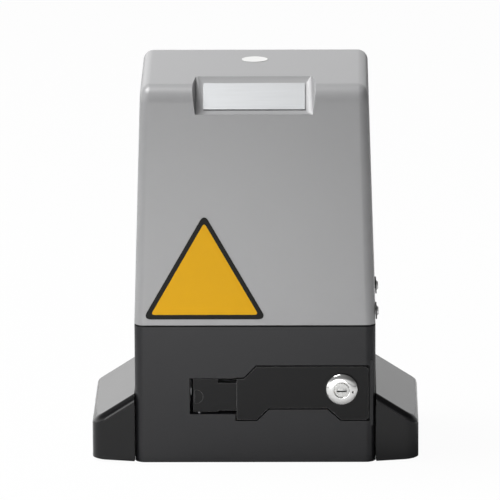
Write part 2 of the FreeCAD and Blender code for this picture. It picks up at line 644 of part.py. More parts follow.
# Lock: chrome body held by a nut, and a plug that turns the cam
tail_end = face + " + lever_thick + lock_tail"
cap = turnedBody("lockCap", [("0", "0"), ("lock_cap_radius", "0"),
                             ("lock_cap_radius", "lock_cap_proud * 0.4"),
                             ("lock_face_radius + lock_cap_round", "lock_cap_proud * 0.86"),
                             ("lock_face_radius", "lock_cap_proud"), ("0", "lock_cap_proud")],
                 ("lock_place", face, "lock_height"), front)
barrel_tube = rod("lockBarrel", ("lock_place", face + " - 1", "lock_height"), back,
                  "lock_barrel_radius", "lever_thick + lock_tail + 1")
plug_bore = rod("plugBore", ("lock_place", face + " - 10", "lock_height"), back,
                "lock_plug_radius + running_gap", "lever_thick + lock_tail + 20")
lock_body = cut("lock_body", fuse("lockSolid", cap, barrel_tube), plug_bore)
plug = rod("plugRod", ("lock_place", face + " - lock_cap_proud + 0.4", "lock_height"), back,
           "lock_plug_radius", "lever_thick + lock_tail + lock_cap_proud - 0.4 + 0.2")
keyway = box("keyway", ("lock_place - 4", face + " - lock_cap_proud - 1", "lock_height - 0.6"),
             ("lock_place + 4", face + " + 2", "lock_height + 0.6"))
cam_start = tail_end + " + 0.1"
cam_plate = box("camPlate", ("lock_place - cam_width / 2", cam_start,
                             "lock_height - cam_reach + cam_width / 2"),
                ("lock_place + cam_width / 2", cam_start + " + cam_thick", "lock_height"))
cam_tip = rod("camTip", ("lock_place", cam_start, "lock_height - cam_reach + cam_width / 2"), back,
              "cam_width / 2", "cam_thick")
cam_hub = rod("camHub", ("lock_place", cam_start, "lock_height"), back, "cam_hub_radius", "cam_thick")
lock_plug = cut("lock_plug", fuse("plugSolid", plug, cam_plate, cam_tip, cam_hub), keyway)
nut_disc = doc.addObject("Part::Prism", "nutDisc")
nut_disc.Polygon = 6
nut_disc.setExpression("Circumradius", bind("lock_nut_width / 2 / cos(30)"))
nut_disc.setExpression("Height", bind("lock_nut_thick"))
place(nut_disc, ("lock_place", face + " + lever_thick", "lock_height"), back)
lock_nut = cut("lock_nut", nut_disc,
               rod("nutBore", ("lock_place", face, "lock_height"), back,
                   "lock_barrel_radius + seat_slip", "lever_thick + lock_nut_thick + 2"))

# Gearcase with wheel chamber, worm tower and motor flange
case_box = box("caseBox", ("-case_left", case_front, "floor_thick"),
               ("0", case_back, "case_top"))
tower = rod("caseTower", ("0", axis_depth, "floor_thick"), up, "tower_radius",
            "case_top - floor_thick")
case_flange = rod("caseFlange", ("0", axis_depth, "case_top"), up, "case_flange_radius",
                  "case_flange_thick")
wheel_radius = "(gear_module * wheel_teeth / 2)"
chamber = rod("wheelChamber", ("-wheel_place", case_front + " - 1", "output_height"), back,
              wheel_radius + " + gear_module + 2", "case_fore + case_aft - case_wall + 1")
case_bore = rod("caseBore", ("-wheel_place", axis_depth, "output_height"), back,
                "shaft_collar_radius + 1", "case_aft + 2")
worm_bore = rod("wormBore", ("0", axis_depth, "floor_thick + case_wall"), up,
                "worm_pitch_radius + gear_module + 1", "120")
worm_seat = rod("wormSeat", ("0", axis_depth, "floor_thick + case_wall"), up,
                "worm_bearing_radius + running_gap",
                "worm_bearing_low + worm_bearing_width - floor_thick - case_wall + 0.5")
gearcase = cut("gearcase", fuse("caseSolid", case_box, tower, case_flange), chamber, case_bore,
               worm_bore, worm_seat)
lid_back = case_front
lid_plate = box("lidPlate", ("-case_left", lid_back + " - lid_thick", "floor_thick + 2"),
                ("0", lid_back, "case_top"))
lid_nose = "bearing_width + 2"
lid_boss = rod("lidBoss", ("-wheel_place", lid_back + " - (%s)" % lid_nose, "output_height"), back,
               "lid_boss_radius", lid_nose)
lid_pocket = rod("lidPocket", ("-wheel_place", lid_back + " - bearing_width", "output_height"),
                 back, "bearing_radius + running_gap", "bearing_width + 1")
lid_hole = rod("lidHole", ("-wheel_place", lid_back + " - 2 * bearing_width", "output_height"),
               back, "plunger_radius + running_gap", "3 * bearing_width")
gearcase_lid = cut("gearcase_lid", fuse("lidSolid", lid_plate, lid_boss), lid_pocket, lid_hole)
lid_screw_parts = []
for across in ("-case_left + 6", "-6"):
    for height in ("floor_thick + 7", "case_top - 6"):
        lid_screw_parts.append(rod("lidScrew", (across, lid_back + " - lid_thick - 3", height),
                                   back, "4", "3"))
gearcase_lid_screws = group("gearcase_lid_screws", *lid_screw_parts)


def ring(name, at, direction, outer, inner, length):
    """Plain ring along a direction."""
    start = list(at)
    axis = [abs(part) for part in direction].index(1)
    start[axis] = "(%s) - 1" % at[axis]
    return cut(name, rod(name + "Outer", at, direction, outer, length),
               rod(name + "Bore", start, direction, inner, "(%s) + 2" % length))


output_bearing_front = ring("front_output_bearing",
                            ("-wheel_place", lid_back + " - bearing_width + 0.1",
                             "output_height"), back, "bearing_radius",
                            "shaft_radius + running_gap", "bearing_width - 0.2")
output_bearing_rear = ring("rear_output_bearing",
                           ("-wheel_place", bearing_front, "output_height"), back,
                           "bearing_radius", "shaft_radius + running_gap", "bearing_width")
oil_seal = ring("oil_seal", ("-wheel_place", bearing_front + " + bearing_width + 1",
                             "output_height"), back, "seal_radius",
                "shaft_radius + running_gap", "oil_seal_width")
worm_bearing = ring("lower_worm_bearing", ("0", axis_depth, "worm_bearing_low"), up,
                    "worm_bearing_radius", "worm_shaft_radius + running_gap",
                    "worm_bearing_width")

# Output shaft, worm wheel and pinion
shaft_start = lid_back + " - bearing_width + 1"
shaft_end = pinion_start + " + pinion_width"
collar_start = axis_depth + " + wheel_width / 2"
output_shaft = fuse("output_shaft",
                    rod("shaftRod", ("-wheel_place", shaft_start, "output_height"), back,
                        "shaft_radius", "%s - (%s)" % (shaft_end, shaft_start)),
                    rod("shaftCollar", ("-wheel_place", collar_start + " + 0.05", "output_height"),
                        back, "shaft_collar_radius",
                        "(%s) - (%s) - 0.5" % (bearing_front, collar_start)),
                    rod("pinionCollar", ("-wheel_place", bearing_back + " + seat_gap",
                                         "output_height"), back, "shaft_collar_radius + 2",
                        "pinion_gap - seat_gap"))


def toothOutline(pitch, count, module, backlash, turned):
    """Closed outline of a gear with straight-flanked teeth round the origin."""
    outer_radius = pitch + module
    root_radius = pitch - 1.2 * module
    tooth = math.pi * module / 2 - backlash
    points = []
    for number in range(count):
        middle = 2 * math.pi * number / count + turned
        flank = math.tan(math.radians(20))
        for radius, sign in ((root_radius, -1), (outer_radius, -1), (outer_radius, 1),
                             (root_radius, 1)):
            half = tooth / 2 - (radius - pitch) * flank
            angle = middle + sign * half / radius
            points.append(FreeCAD.Vector(radius * math.cos(angle), 0, radius * math.sin(angle)))
    points.append(points[0])
    return Part.makePolygon(points)


# The wheel's teeth follow the lead of the worm
wheel_pitch = size(wheel_radius)
module = size("gear_module")
lead = math.atan(module / (2 * size("worm_pitch_radius")))
twist = size("wheel_width") / 2 * math.tan(lead) / wheel_pitch
sections = []
for end in (-1, 1):
    outline = toothOutline(wheel_pitch, int(size("wheel_teeth")), module, 0.6, -end * twist)
    outline.translate(FreeCAD.Vector(0, end * size("wheel_width") / 2, 0))
    sections.append(outline)
wheel_teeth = doc.addObject("Part::Feature", "wheelTeeth")
wheel_teeth.Shape = Part.makeLoft(sections, True, True)
place(wheel_teeth, ("-wheel_place", axis_depth, "output_height"))
worm_wheel = cut("worm_wheel", wheel_teeth,
                 rod("wheelBore", ("-wheel_place", axis_depth + " - wheel_width", "output_height"),
                     back, "shaft_radius + seat_slip", "2 * wheel_width"))

# Worm: a thread swept round the motor shaft
thread_pitch = math.pi * module
worm_root = size("worm_pitch_radius") - 1.2 * module
worm_outer = size("worm_pitch_radius") + module
thread_length = "worm_turns * pi * gear_module"
helix = Part.makeHelix(thread_pitch, size(thread_length), worm_root)
flank = math.tan(math.radians(20))
half_root = thread_pitch / 4 - 0.15 + 1.2 * module * flank
half_tip = thread_pitch / 4 - 0.15 - module * flank
thread_section = Part.makePolygon([FreeCAD.Vector(worm_root - 0.4, 0, -half_root),
                                   FreeCAD.Vector(worm_outer, 0, -half_tip),
                                   FreeCAD.Vector(worm_outer, 0, half_tip),
                                   FreeCAD.Vector(worm_root - 0.4, 0, half_root),
                                   FreeCAD.Vector(worm_root - 0.4, 0, -half_root)])
thread = Part.Wire(helix.Edges).makePipeShell([thread_section], True, True)
worm_thread = doc.addObject("Part::Feature", "wormThread")
worm_thread.Shape = thread
place(worm_thread, ("0", axis_depth, "output_height - %s / 2" % thread_length))
rotor_end = "motor_top - 3"
worm_shaft = fuse("worm_shaft", worm_thread,
                  rod("wormCore", ("0", axis_depth, "worm_bearing_low + worm_bearing_width"),
                      up, "worm_pitch_radius - 1.2 * gear_module",
                      "output_height + %s / 2 + 6 - worm_bearing_low - worm_bearing_width"
                      % thread_length),
                  rod("motorShaft", ("0", axis_depth, "worm_bearing_low"), up,
                      "worm_shaft_radius", rotor_end + " - worm_bearing_low"))


# Pinion with involute teeth
def involuteGap(module, count, width_gap):
    """Tooth gap of a spur gear, as a closed wire round the Z axis direction."""
    pitch = module * count / 2
    base_circle = pitch * math.cos(math.radians(20))
    outside = pitch + module
    root = pitch - 1.25 * module
    rolled = math.tan(math.radians(20)) - math.radians(20)
    half_gap = math.pi / (2 * count) - rolled + width_gap / pitch / 2

    def flankPoint(radius, sign):
        spread = 0
        if radius > base_circle:
            pressure = math.acos(base_circle / radius)
            spread = math.tan(pressure) - pressure
        angle = sign * (half_gap + spread)
        return FreeCAD.Vector(radius * math.cos(angle), 0, radius * math.sin(angle))

    radii = [base_circle + (outside + 1.5 - base_circle) * part / 5 for part in range(6)]
    edges = []
    for sign in (-1, 1):
        curve = Part.BSplineCurve()
        curve.interpolate([flankPoint(radius, sign) for radius in radii])
        edges.append(curve.toShape())
        edges.append(Part.LineSegment(flankPoint(root, sign),
                                      flankPoint(radii[0], sign)).toShape())
    edges.append(Part.LineSegment(flankPoint(root, -1), flankPoint(root, 1)).toShape())
    edges.append(Part.LineSegment(flankPoint(radii[-1], -1), flankPoint(radii[-1], 1)).toShape())
    return Part.Wire(Part.__sortEdges__(edges))


pinion_module = size("pinion_module")
pinion_teeth = int(size("pinion_teeth"))
pinion_radius = pinion_module * pinion_teeth / 2 + pinion_module
gap_wire = involuteGap(pinion_module, pinion_teeth, 0.2)
gap_solid = Part.Face(gap_wire).extrude(FreeCAD.Vector(0, size("pinion_width") + 2, 0))
gap_solid.translate(FreeCAD.Vector(0, -1, 0))
gaps = []
for number in range(pinion_teeth):
    copy = gap_solid.copy()
    copy.rotate(FreeCAD.Vector(), FreeCAD.Vector(0, 1, 0), 360.0 * number / pinion_teeth)
    gaps.append(copy)
blank = Part.makeCylinder(pinion_radius, size("pinion_width"), FreeCAD.Vector(),
                          FreeCAD.Vector(0, 1, 0))
pinion_rough = doc.addObject("Part::Feature", "pinionTeeth")
pinion_rough.Shape = blank.cut(gaps)
place(pinion_rough, ("-wheel_place", pinion_start, "output_height"))
output_pinion = cut("output_pinion", pinion_rough,
                    rod("pinionBore", ("-wheel_place", pinion_start + " - 1", "output_height"), back,
                        "shaft_radius + seat_slip", "pinion_width + 2"))
pinion_washer = rod("pinion_washer", ("-wheel_place", shaft_end, "output_height"), back,
                    "shaft_radius * 1.5", "pinion_washer_thick")
pinion_screw = doc.addObject("Part::Prism", "pinion_screw")
pinion_screw.Polygon = 6
pinion_screw.setExpression("Circumradius", bind("pinion_screw_radius"))
pinion_screw.setExpression("Height", bind("pinion_screw_thick"))
place(pinion_screw, ("-wheel_place", shaft_end + " + pinion_washer_thick", "output_height"), back)

# Motor: rotor, stator, housing and end shields on the gearcase flange
motor_low = "case_top + case_flange_thick"
rotor_pack = ring("rotor_pack", ("0", axis_depth, "rotor_low"), up, "rotor_radius",
                  "worm_shaft_radius + seat_slip", "rotor_length")
stator_core = ring("stator", ("0", axis_depth, "rotor_low"), up, "stator_radius",
                   "rotor_radius + air_gap", "rotor_length")
windings = group("windings", *[
    ring("winding%d" % number, ("0", axis_depth, start), up, "stator_radius - 4",
         "rotor_radius + 3", "winding_reach")
    for number, start in enumerate(("rotor_low - winding_reach", "rotor_low + rotor_length"))])
housing_low = motor_low + " + shield_thick"
housing_high = "motor_top - shield_thick"
housing_tube = ring("housingTube", ("0", axis_depth, housing_low), up,
                    "motor_radius - fin_height", "stator_radius + 0.05",
                    "%s - (%s)" % (housing_high, housing_low))
fins = []
for number in range(int(size("fin_count"))):
    fin = doc.addObject("Part::Box", "fin%d" % number)
    fin.setExpression("Length", bind("fin_height + 1"))
    fin.setExpression("Width", bind("fin_thick"))
    fin.setExpression("Height", bind("%s - (%s)" % (housing_high, housing_low)))
    turned = 360.0 * number / size("fin_count")
    fin.Placement.Rotation = FreeCAD.Rotation(FreeCAD.Vector(0, 0, 1), turned)
    reach = "(motor_radius - fin_height - 1)"
    place(fin, ("%s * cos(%g) + fin_thick / 2 * sin(%g)" % (reach, turned, turned),
                "%s + %s * sin(%g) - fin_thick / 2 * cos(%g)" % (axis_depth, reach, turned, turned),
                housing_low))
    fins.append(fin)
motor_housing = fuse("motor_housing", housing_tube, *fins)
lower_end_shield = ring("lower_end_shield", ("0", axis_depth, motor_low), up, "motor_radius",
                        "worm_bearing_radius + running_gap", "shield_thick")
upper_shield_solid = rod("upperShieldSolid", ("0", axis_depth, housing_high), up,
                         "motor_radius", "shield_thick + 3")
upper_end_shield = cut("upper_end_shield", upper_shield_solid,
                       rod("upperSeat", ("0", axis_depth, housing_high + " - 1"), up,
                           "worm_bearing_radius + running_gap", "shield_thick + 1"))
upper_bearing = ring("upper_motor_bearing", ("0", axis_depth, housing_high), up,
                     "worm_bearing_radius", "worm_shaft_radius + running_gap",
                     "shield_thick - 0.2")
lower_bearing = ring("lower_motor_bearing", ("0", axis_depth, motor_low), up,
                     "worm_bearing_radius", "worm_shaft_radius + running_gap", "shield_thick")
bolt_parts = []
for number in range(4):
    turned = 45 + 90 * number
    bolt_parts.append(rod("throughBolt%d" % number,
                          ("(motor_radius - 6) * cos(%d)" % turned,
                           "%s + (motor_radius - 6) * sin(%d)" % (axis_depth, turned),
                           "motor_top + 3"), up, "3.5", "3.5"))
motor_bolts = group("motor_bolts", *bolt_parts)

# Plunger that the lever's cam pushes, and its return spring
plunger_front = face + " + hinge_depth + barrel_radius + seat_gap"
plunger_back = lid_back + " - bearing_width + 0.4 - cam_lift"
collar_place = plunger_front + " + 4"
release_plunger = fuse("release_plunger",
                       rod("plungerRod", ("-hinge_place", plunger_front, "output_height"), back,
                           "plunger_radius",
                           "%s - (%s) - seat_gap" % (plunger_back, plunger_front)),
                       rod("plungerCollar", ("-hinge_place", collar_place, "output_height"),
                           back, "plunger_collar_radius", "plunger_collar_thick"))
spring_start = size(collar_place + " + plunger_collar_thick + spring_wire + 0.1")
spring_end = size(lid_back + " - (%s) - spring_wire - 0.1" % lid_nose)
spring_steps = 10 * int(size("spring_turns"))
coil_points = []
for step in range(spring_steps + 1):
    turned = math.radians(36 * step)
    coil_points.append(FreeCAD.Vector(size("spring_radius") * math.cos(turned),
                                      size("spring_radius") * math.sin(turned),
                                      (spring_end - spring_start) * step / spring_steps))
coil = Part.makePolygon(coil_points)
wire_section = Part.makePolygon([
    FreeCAD.Vector(size("spring_radius") + size("spring_wire") * math.cos(math.radians(60 * side)),
                   0, size("spring_wire") * math.sin(math.radians(60 * side)))
    for side in range(7)])
spring_shape = coil.makePipeShell([wire_section], True, True, 1)
plunger_spring = doc.addObject("Part::Feature", "plunger_spring")
plunger_spring.Shape = spring_shape
plunger_spring.Placement = FreeCAD.Placement(
    FreeCAD.Vector(-size("hinge_place"), spring_start, size("output_height")),
    FreeCAD.Rotation(FreeCAD.Vector(0, 0, 1), FreeCAD.Vector(0, 1, 0)))

# Control board on its carrier, which stands on two posts of the base
shelf_back = post_depth + " + post_radius"
shelves = [box("carrierShelfLeft",
               ("-post_place - post_radius", carrier_face, "post_top"),
               ("-board_width / 2 + standoff_inset", shelf_back, "post_top + carrier_thick")),
           box("carrierShelfRight",
               ("board_width / 2 - standoff_inset", carrier_face, "post_top"),
               ("post_place + post_radius", shelf_back, "post_top + carrier_thick"))]
wall = box("carrierWall", ("-board_width / 2 - carrier_rim", carrier_face, "post_top"),
           ("board_width / 2 + carrier_rim", carrier_face + " + carrier_thick",
            "board_low + board_height + carrier_rim"))
standoffs = []
for across in ("-board_width / 2 + standoff_inset", "board_width / 2 - standoff_inset"):
    for height in ("board_low + standoff_inset", "board_low + board_height - standoff_inset"):
        standoffs.append(rod("standoff", (across, carrier_face + " - standoff", height), back,
                             "standoff * 0.8", "standoff + carrier_thick / 2"))
board_carrier = fuse("board_carrier", wall, *(shelves + standoffs))
carrier_screws = group("carrier_screws", *[
    rod("carrierScrew%d" % side, ("%d * post_place" % side, post_depth,
                                  "post_top + carrier_thick"), up, "post_screw_radius",
        "post_screw_thick")
    for side in (-1, 1)])
board_back = carrier_face + " - standoff"
board_front = board_back + " - board_thick"
control_board = box("control_board", ("-board_width / 2", board_front, "board_low"),
                    ("board_width / 2", board_back, "board_low + board_height"))


def boardParts(name, count, start, low, pitch, length, proud, height):
    """Row of equal blocks on the front of the board."""
    blocks = []
    for number in range(count):
        first = "-board_width / 2 + %s + %d * %s" % (start, number, pitch)
        blocks.append(box(name + "Block%d" % number,
                          (first, "%s - %s" % (board_front, proud), "board_low + " + low),
                          ("%s + %s" % (first, length), board_front,
                           "board_low + %s + %s" % (low, height))))
    return group(name, *blocks)


terminal_blocks = boardParts("terminal_blocks", 4, "standoff", "board_thick", "terminal_pitch",
                             "terminal_length", "terminal_proud", "terminal_height")
relays = boardParts("relays", 3, "standoff_inset", "2 * terminal_height", "relay_pitch",
                    "relay_length", "relay_proud", "relay_height")
button_at = ("board_width / 2 - button_case_width", "board_low + board_height / 2")
button_case = cut("button_case",
                  box("buttonCaseBlock", (button_at[0] + " - button_case_width / 2",
                                          board_front + " - button_case_proud",
                                          button_at[1] + " - button_case_width / 2"),
                      (button_at[0] + " + button_case_width / 2", board_front,
                       button_at[1] + " + button_case_width / 2")),
                  rod("buttonWell", (button_at[0], board_front + " - button_case_proud - 1",
                                     button_at[1]), back, "button_radius + 2 * running_gap",
                      "button_case_proud + 1 - seat_gap"))
button_front = "button_length + button_travel + 2 * seat_gap"
learn_button = rod("learn_button", (button_at[0], "%s - (%s)" % (board_front, button_front),
                                    button_at[1]), back, "button_radius", "button_length")

# Capacitor in a clip on the floor, and the transformer on the gearcase
capacitor_low = "floor_thick + clip_wall"
capacitor = rod("capacitor", ("capacitor_place", "capacitor_depth", capacitor_low), up,
                "capacitor_radius", "capacitor_length")
clip_cup = rod("clipCup", ("capacitor_place", "capacitor_depth", "floor_thick"), up,
               "capacitor_radius + clip_wall", "clip_height")
clip_foot = box("clipFoot", ("capacitor_place - capacitor_radius - 7", "capacitor_depth - 6",
                             "floor_thick"),
                ("capacitor_place + capacitor_radius + 7", "capacitor_depth + 6",
                 "floor_thick + clip_wall"))
capacitor_clip = cut("capacitor_clip", fuse("clipSolid", clip_cup, clip_foot),
                     rod("clipBore", ("capacitor_place", "capacitor_depth", capacitor_low), up,
                         "capacitor_radius + 0.1", "clip_height"))
transformer_left = "-case_left + 1"
transformer_low = "case_top"
core = box("transformerCore",
           (transformer_left, "-8", transformer_low),
           (transformer_left + " + transformer_width", "-8 + transformer_length",
            transformer_low + " + transformer_height"))
transformer = fuse("transformer", core,
                   box("transformerCoil",
                       (transformer_left + " + 4", "-12", transformer_low + " + 8"),
                       (transformer_left + " + transformer_width - 4",
                        "-4 + transformer_length", transformer_low + " + transformer_height - 8")))

# Limit switch on the back wall, with the arm that the gate's stops push
limit_back = half_depth + " + limit_deep"
limit_low = "base_top - 2 - limit_tall"
limit_block = box("limitBlock", ("-wheel_place - limit_width / 2", half_depth, limit_low),
                  ("-wheel_place + limit_width / 2", limit_back, limit_low + " + limit_tall"))
arm_height = limit_low + " + limit_tall / 2"
pivot_depth = limit_back + " - arm_pivot"
hub_well = box("hubWell", ("-wheel_place - 16", pivot_depth + " - arm_hub_radius - 0.5",
                           limit_low + " + 2.5"),
               ("-wheel_place + 16", limit_back + " + 1", limit_low + " + limit_tall - 2.5"))
pivot_hole = rod("pivotHole", ("-wheel_place", pivot_depth, limit_low + " + 1"), up,
                 "1.5 + running_gap", "limit_tall - 2")
limit_switch = cut("limit_switch_block", limit_block, hub_well, pivot_hole)
hub = rod("armHub", ("-wheel_place", pivot_depth, limit_low + " + 2.8"), up, "arm_hub_radius",
          "limit_tall - 5.6")
arm_rod = rod("armRod", ("-wheel_place", pivot_depth, arm_height), back, "arm_radius",
              "arm_length")
arm_axle = rod("armAxle", ("-wheel_place", pivot_depth, limit_low + " + 1.3"), up, "1.5",
               "limit_tall - 2.6")
arm_tip = doc.addObject("Part::Sphere", "armTip")
arm_tip.setExpression("Radius", bind("arm_radius + 1"))
place(arm_tip, ("-wheel_place", pivot_depth + " + arm_length", arm_height))
limit_arm = fuse("limit_arm", hub, arm_rod, arm_axle, arm_tip)

doc.recompute()
nodes = [base_casting, bolt_flanges, cover_seal, top_cover, label_plate, cover_screws, cover_washers,
         left_foot_cover, right_foot_cover, release_lever, hinge_pin, lock_body, lock_plug,
         lock_nut, gearcase, gearcase_lid, gearcase_lid_screws, output_bearing_front,
         output_bearing_rear, oil_seal, worm_bearing, output_shaft, worm_wheel, worm_shaft,
         output_pinion, pinion_washer, pinion_screw, rotor_pack, stator_core, windings,
         motor_housing, lower_end_shield, upper_end_shield, upper_bearing, lower_bearing,
         motor_bolts, release_plunger, plunger_spring, board_carrier, carrier_screws,
         control_board, terminal_blocks, relays, button_case, learn_button, capacitor,
         capacitor_clip, transformer, limit_switch, limit_arm]
for thing in doc.Objects:
    if "Invalid" in thing.State or "Error" in thing.State:
        raise RuntimeError("%s is in error" % thing.Label)
for node in nodes:
    if node.Shape.isNull() or not node.Shape.isValid() or not node.Shape.Solids:
        raise RuntimeError("%s has no valid shape" % node.Label)
for node in nodes:
    node.Shape.exportStep("parts/%s.step" % node.Label)
print("wrote %d nodes" % len(nodes))
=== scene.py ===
import bpy
import bmesh
import json
import math
from mathutils import Matrix, Vector

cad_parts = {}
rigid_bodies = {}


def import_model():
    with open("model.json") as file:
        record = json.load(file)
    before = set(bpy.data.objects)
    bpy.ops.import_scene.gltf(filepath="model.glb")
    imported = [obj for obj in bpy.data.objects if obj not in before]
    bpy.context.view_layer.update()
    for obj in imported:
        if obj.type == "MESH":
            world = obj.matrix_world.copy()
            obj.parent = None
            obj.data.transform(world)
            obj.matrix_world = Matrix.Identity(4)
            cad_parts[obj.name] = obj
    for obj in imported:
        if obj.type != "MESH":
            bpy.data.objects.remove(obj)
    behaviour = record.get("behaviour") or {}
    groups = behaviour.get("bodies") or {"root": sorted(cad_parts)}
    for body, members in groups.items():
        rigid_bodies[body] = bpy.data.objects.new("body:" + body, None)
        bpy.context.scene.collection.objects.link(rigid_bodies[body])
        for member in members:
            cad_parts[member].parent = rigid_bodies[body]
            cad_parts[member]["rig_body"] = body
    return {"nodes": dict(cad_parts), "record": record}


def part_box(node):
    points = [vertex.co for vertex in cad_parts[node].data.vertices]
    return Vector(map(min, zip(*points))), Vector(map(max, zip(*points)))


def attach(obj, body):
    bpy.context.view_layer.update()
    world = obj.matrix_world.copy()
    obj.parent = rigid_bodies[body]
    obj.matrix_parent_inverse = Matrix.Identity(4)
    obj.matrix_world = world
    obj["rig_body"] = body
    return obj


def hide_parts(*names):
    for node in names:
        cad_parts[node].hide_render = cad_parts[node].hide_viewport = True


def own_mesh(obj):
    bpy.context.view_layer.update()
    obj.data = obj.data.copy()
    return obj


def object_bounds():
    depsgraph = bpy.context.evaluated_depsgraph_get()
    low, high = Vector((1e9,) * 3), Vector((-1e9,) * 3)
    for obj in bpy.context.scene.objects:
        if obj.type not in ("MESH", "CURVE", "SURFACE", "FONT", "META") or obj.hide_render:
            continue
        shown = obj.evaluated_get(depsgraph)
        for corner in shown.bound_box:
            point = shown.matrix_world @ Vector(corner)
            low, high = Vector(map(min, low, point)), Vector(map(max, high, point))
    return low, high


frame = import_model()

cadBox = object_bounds()
nodes = frame["nodes"]
mm = 0.001
near = 0.2 * mm  # on the same side of a piece
level = 0.01 * mm  # at the same height
merge = 0.005 * mm  # doubles
facing = 0.9  # least part of a normal along the axis that a face looks along


def clearSelection():
    if bpy.context.object and bpy.context.object.mode != "OBJECT":
        bpy.ops.object.mode_set(mode="OBJECT")
    bpy.ops.object.select_all(action="DESELECT")


def activate(piece):
    clearSelection()
    piece.select_set(True)
    bpy.context.view_layer.objects.active = piece


def applyPlace(piece):
    activate(piece)
    bpy.ops.object.transform_apply(location=True, rotation=True, scale=True)


def applyModifiers(piece):
    activate(piece)
    for modifier in list(piece.modifiers):
        bpy.ops.object.modifier_apply(modifier=modifier.name)


def selectWhere(piece, kind, test):
    # in edit mode: faces by centre and normal, edges by their two ends
    mesh = bmesh.from_edit_mesh(piece.data)
    bpy.ops.mesh.select_all(action="DESELECT")
    bpy.ops.mesh.select_mode(type=kind)
    if kind == "FACE":
        chosen = [face for face in mesh.faces if test(face.calc_center_median(), face.normal)]
    else:
        chosen = [edge for edge in mesh.edges if test(edge.verts[0].co, edge.verts[1].co)]
    for element in chosen:
        element.select_set(True)
    bmesh.update_edit_mesh(piece.data)


def shadeByFaces(piece, angle=32):
    # smooth rounds, while the large flat faces keep their own normals
    activate(piece)
    bpy.ops.mesh.customdata_custom_splitnormals_clear()
    bpy.ops.object.shade_smooth_by_angle(angle=math.radians(angle), keep_sharp_edges=False)
    weighted = piece.modifiers.new("faceNormals", "WEIGHTED_NORMAL")
    weighted.keep_sharp = True
    weighted.weight = 80
    applyModifiers(piece)


def smoothSkin(nodeName, angle=32):
    # merged copy of a frame node, so that its rounds shade as one surface
    node = nodes[nodeName]
    skin = node.copy()
    skin.data = node.data.copy()
    skin.name = nodeName + "Skin"
    skin.parent = None
    bpy.context.scene.collection.objects.link(skin)
    activate(skin)
    bpy.ops.object.mode_set(mode="EDIT")
    bpy.ops.mesh.select_all(action="SELECT")
    bpy.ops.mesh.remove_doubles(threshold=0.002 * mm)
    bpy.ops.mesh.normals_make_consistent(inside=False)
    bpy.ops.mesh.dissolve_limited(angle_limit=math.radians(0.4))  # joins flat triangles
    bpy.ops.object.mode_set(mode="OBJECT")
    shadeByFaces(skin, angle)
    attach(skin, node["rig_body"])
    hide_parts(nodeName)
    return skin


def dress(piece, material):
    piece.data.materials.clear()
    piece.data.materials.append(material)


def joinPieces(pieces):
    clearSelection()
    for piece in pieces:
        piece.select_set(True)
    bpy.context.view_layer.objects.active = pieces[0]
    bpy.ops.object.join()


def surfacePoint(skin, start, direction):
    # where a ray meets the skin, and the way that the surface faces there
    bpy.context.view_layer.update()
    return skin.ray_cast(Vector(start), Vector(direction))[1:3]


def newGroup(name, inputs, outputs):
    group = bpy.data.node_groups.new(name, "ShaderNodeTree")
    for socketName, kind, value in inputs:
        socket = group.interface.new_socket(name=socketName, in_out="INPUT", socket_type=kind)
        socket.default_value = value
    for socketName, kind in outputs:
        group.interface.new_socket(name=socketName, in_out="OUTPUT", socket_type=kind)
    tree = group.nodes
    return group, tree.new("NodeGroupInput"), tree.new("NodeGroupOutput")


def buildSoftEdges():
    # fine grain over edges that are rounded by a small radius
    group, source, result = newGroup(
        "softEdges",
        [("Radius", "NodeSocketFloat", 0.0004), ("Grain Scale", "NodeSocketFloat", 900.0),
         ("Grain Depth", "NodeSocketFloat", 0.1), ("Wave Scale", "NodeSocketFloat", 14.0),
         ("Wave Depth", "NodeSocketFloat", 0.02)],
        [("Normal", "NodeSocketVector")])
    tree, link = group.nodes, group.links.new
    place = tree.new("ShaderNodeTexCoord")
    bevel = tree.new("ShaderNodeBevel")
    bevel.samples = 6
    grain = tree.new("ShaderNodeTexNoise")
    grain.inputs["Detail"].default_value = 3.0
    wave = tree.new("ShaderNodeTexNoise")
    wave.inputs["Detail"].default_value = 1.0
    grainBump = tree.new("ShaderNodeBump")
    grainBump.inputs["Distance"].default_value = 0.0003
    waveBump = tree.new("ShaderNodeBump")
    waveBump.inputs["Distance"].default_value = 0.004
    link(source.outputs["Radius"], bevel.inputs["Radius"])
    link(place.outputs["Object"], grain.inputs["Vector"])
    link(place.outputs["Object"], wave.inputs["Vector"])
    link(source.outputs["Grain Scale"], grain.inputs["Scale"])
    link(source.outputs["Wave Scale"], wave.inputs["Scale"])
    link(bevel.outputs["Normal"], waveBump.inputs["Normal"])
    link(wave.outputs["Fac"], waveBump.inputs["Height"])
    link(source.outputs["Wave Depth"], waveBump.inputs["Strength"])
    link(waveBump.outputs["Normal"], grainBump.inputs["Normal"])
    link(grain.outputs["Fac"], grainBump.inputs["Height"])
    link(source.outputs["Grain Depth"], grainBump.inputs["Strength"])
    link(grainBump.outputs["Normal"], result.inputs["Normal"])
    return group


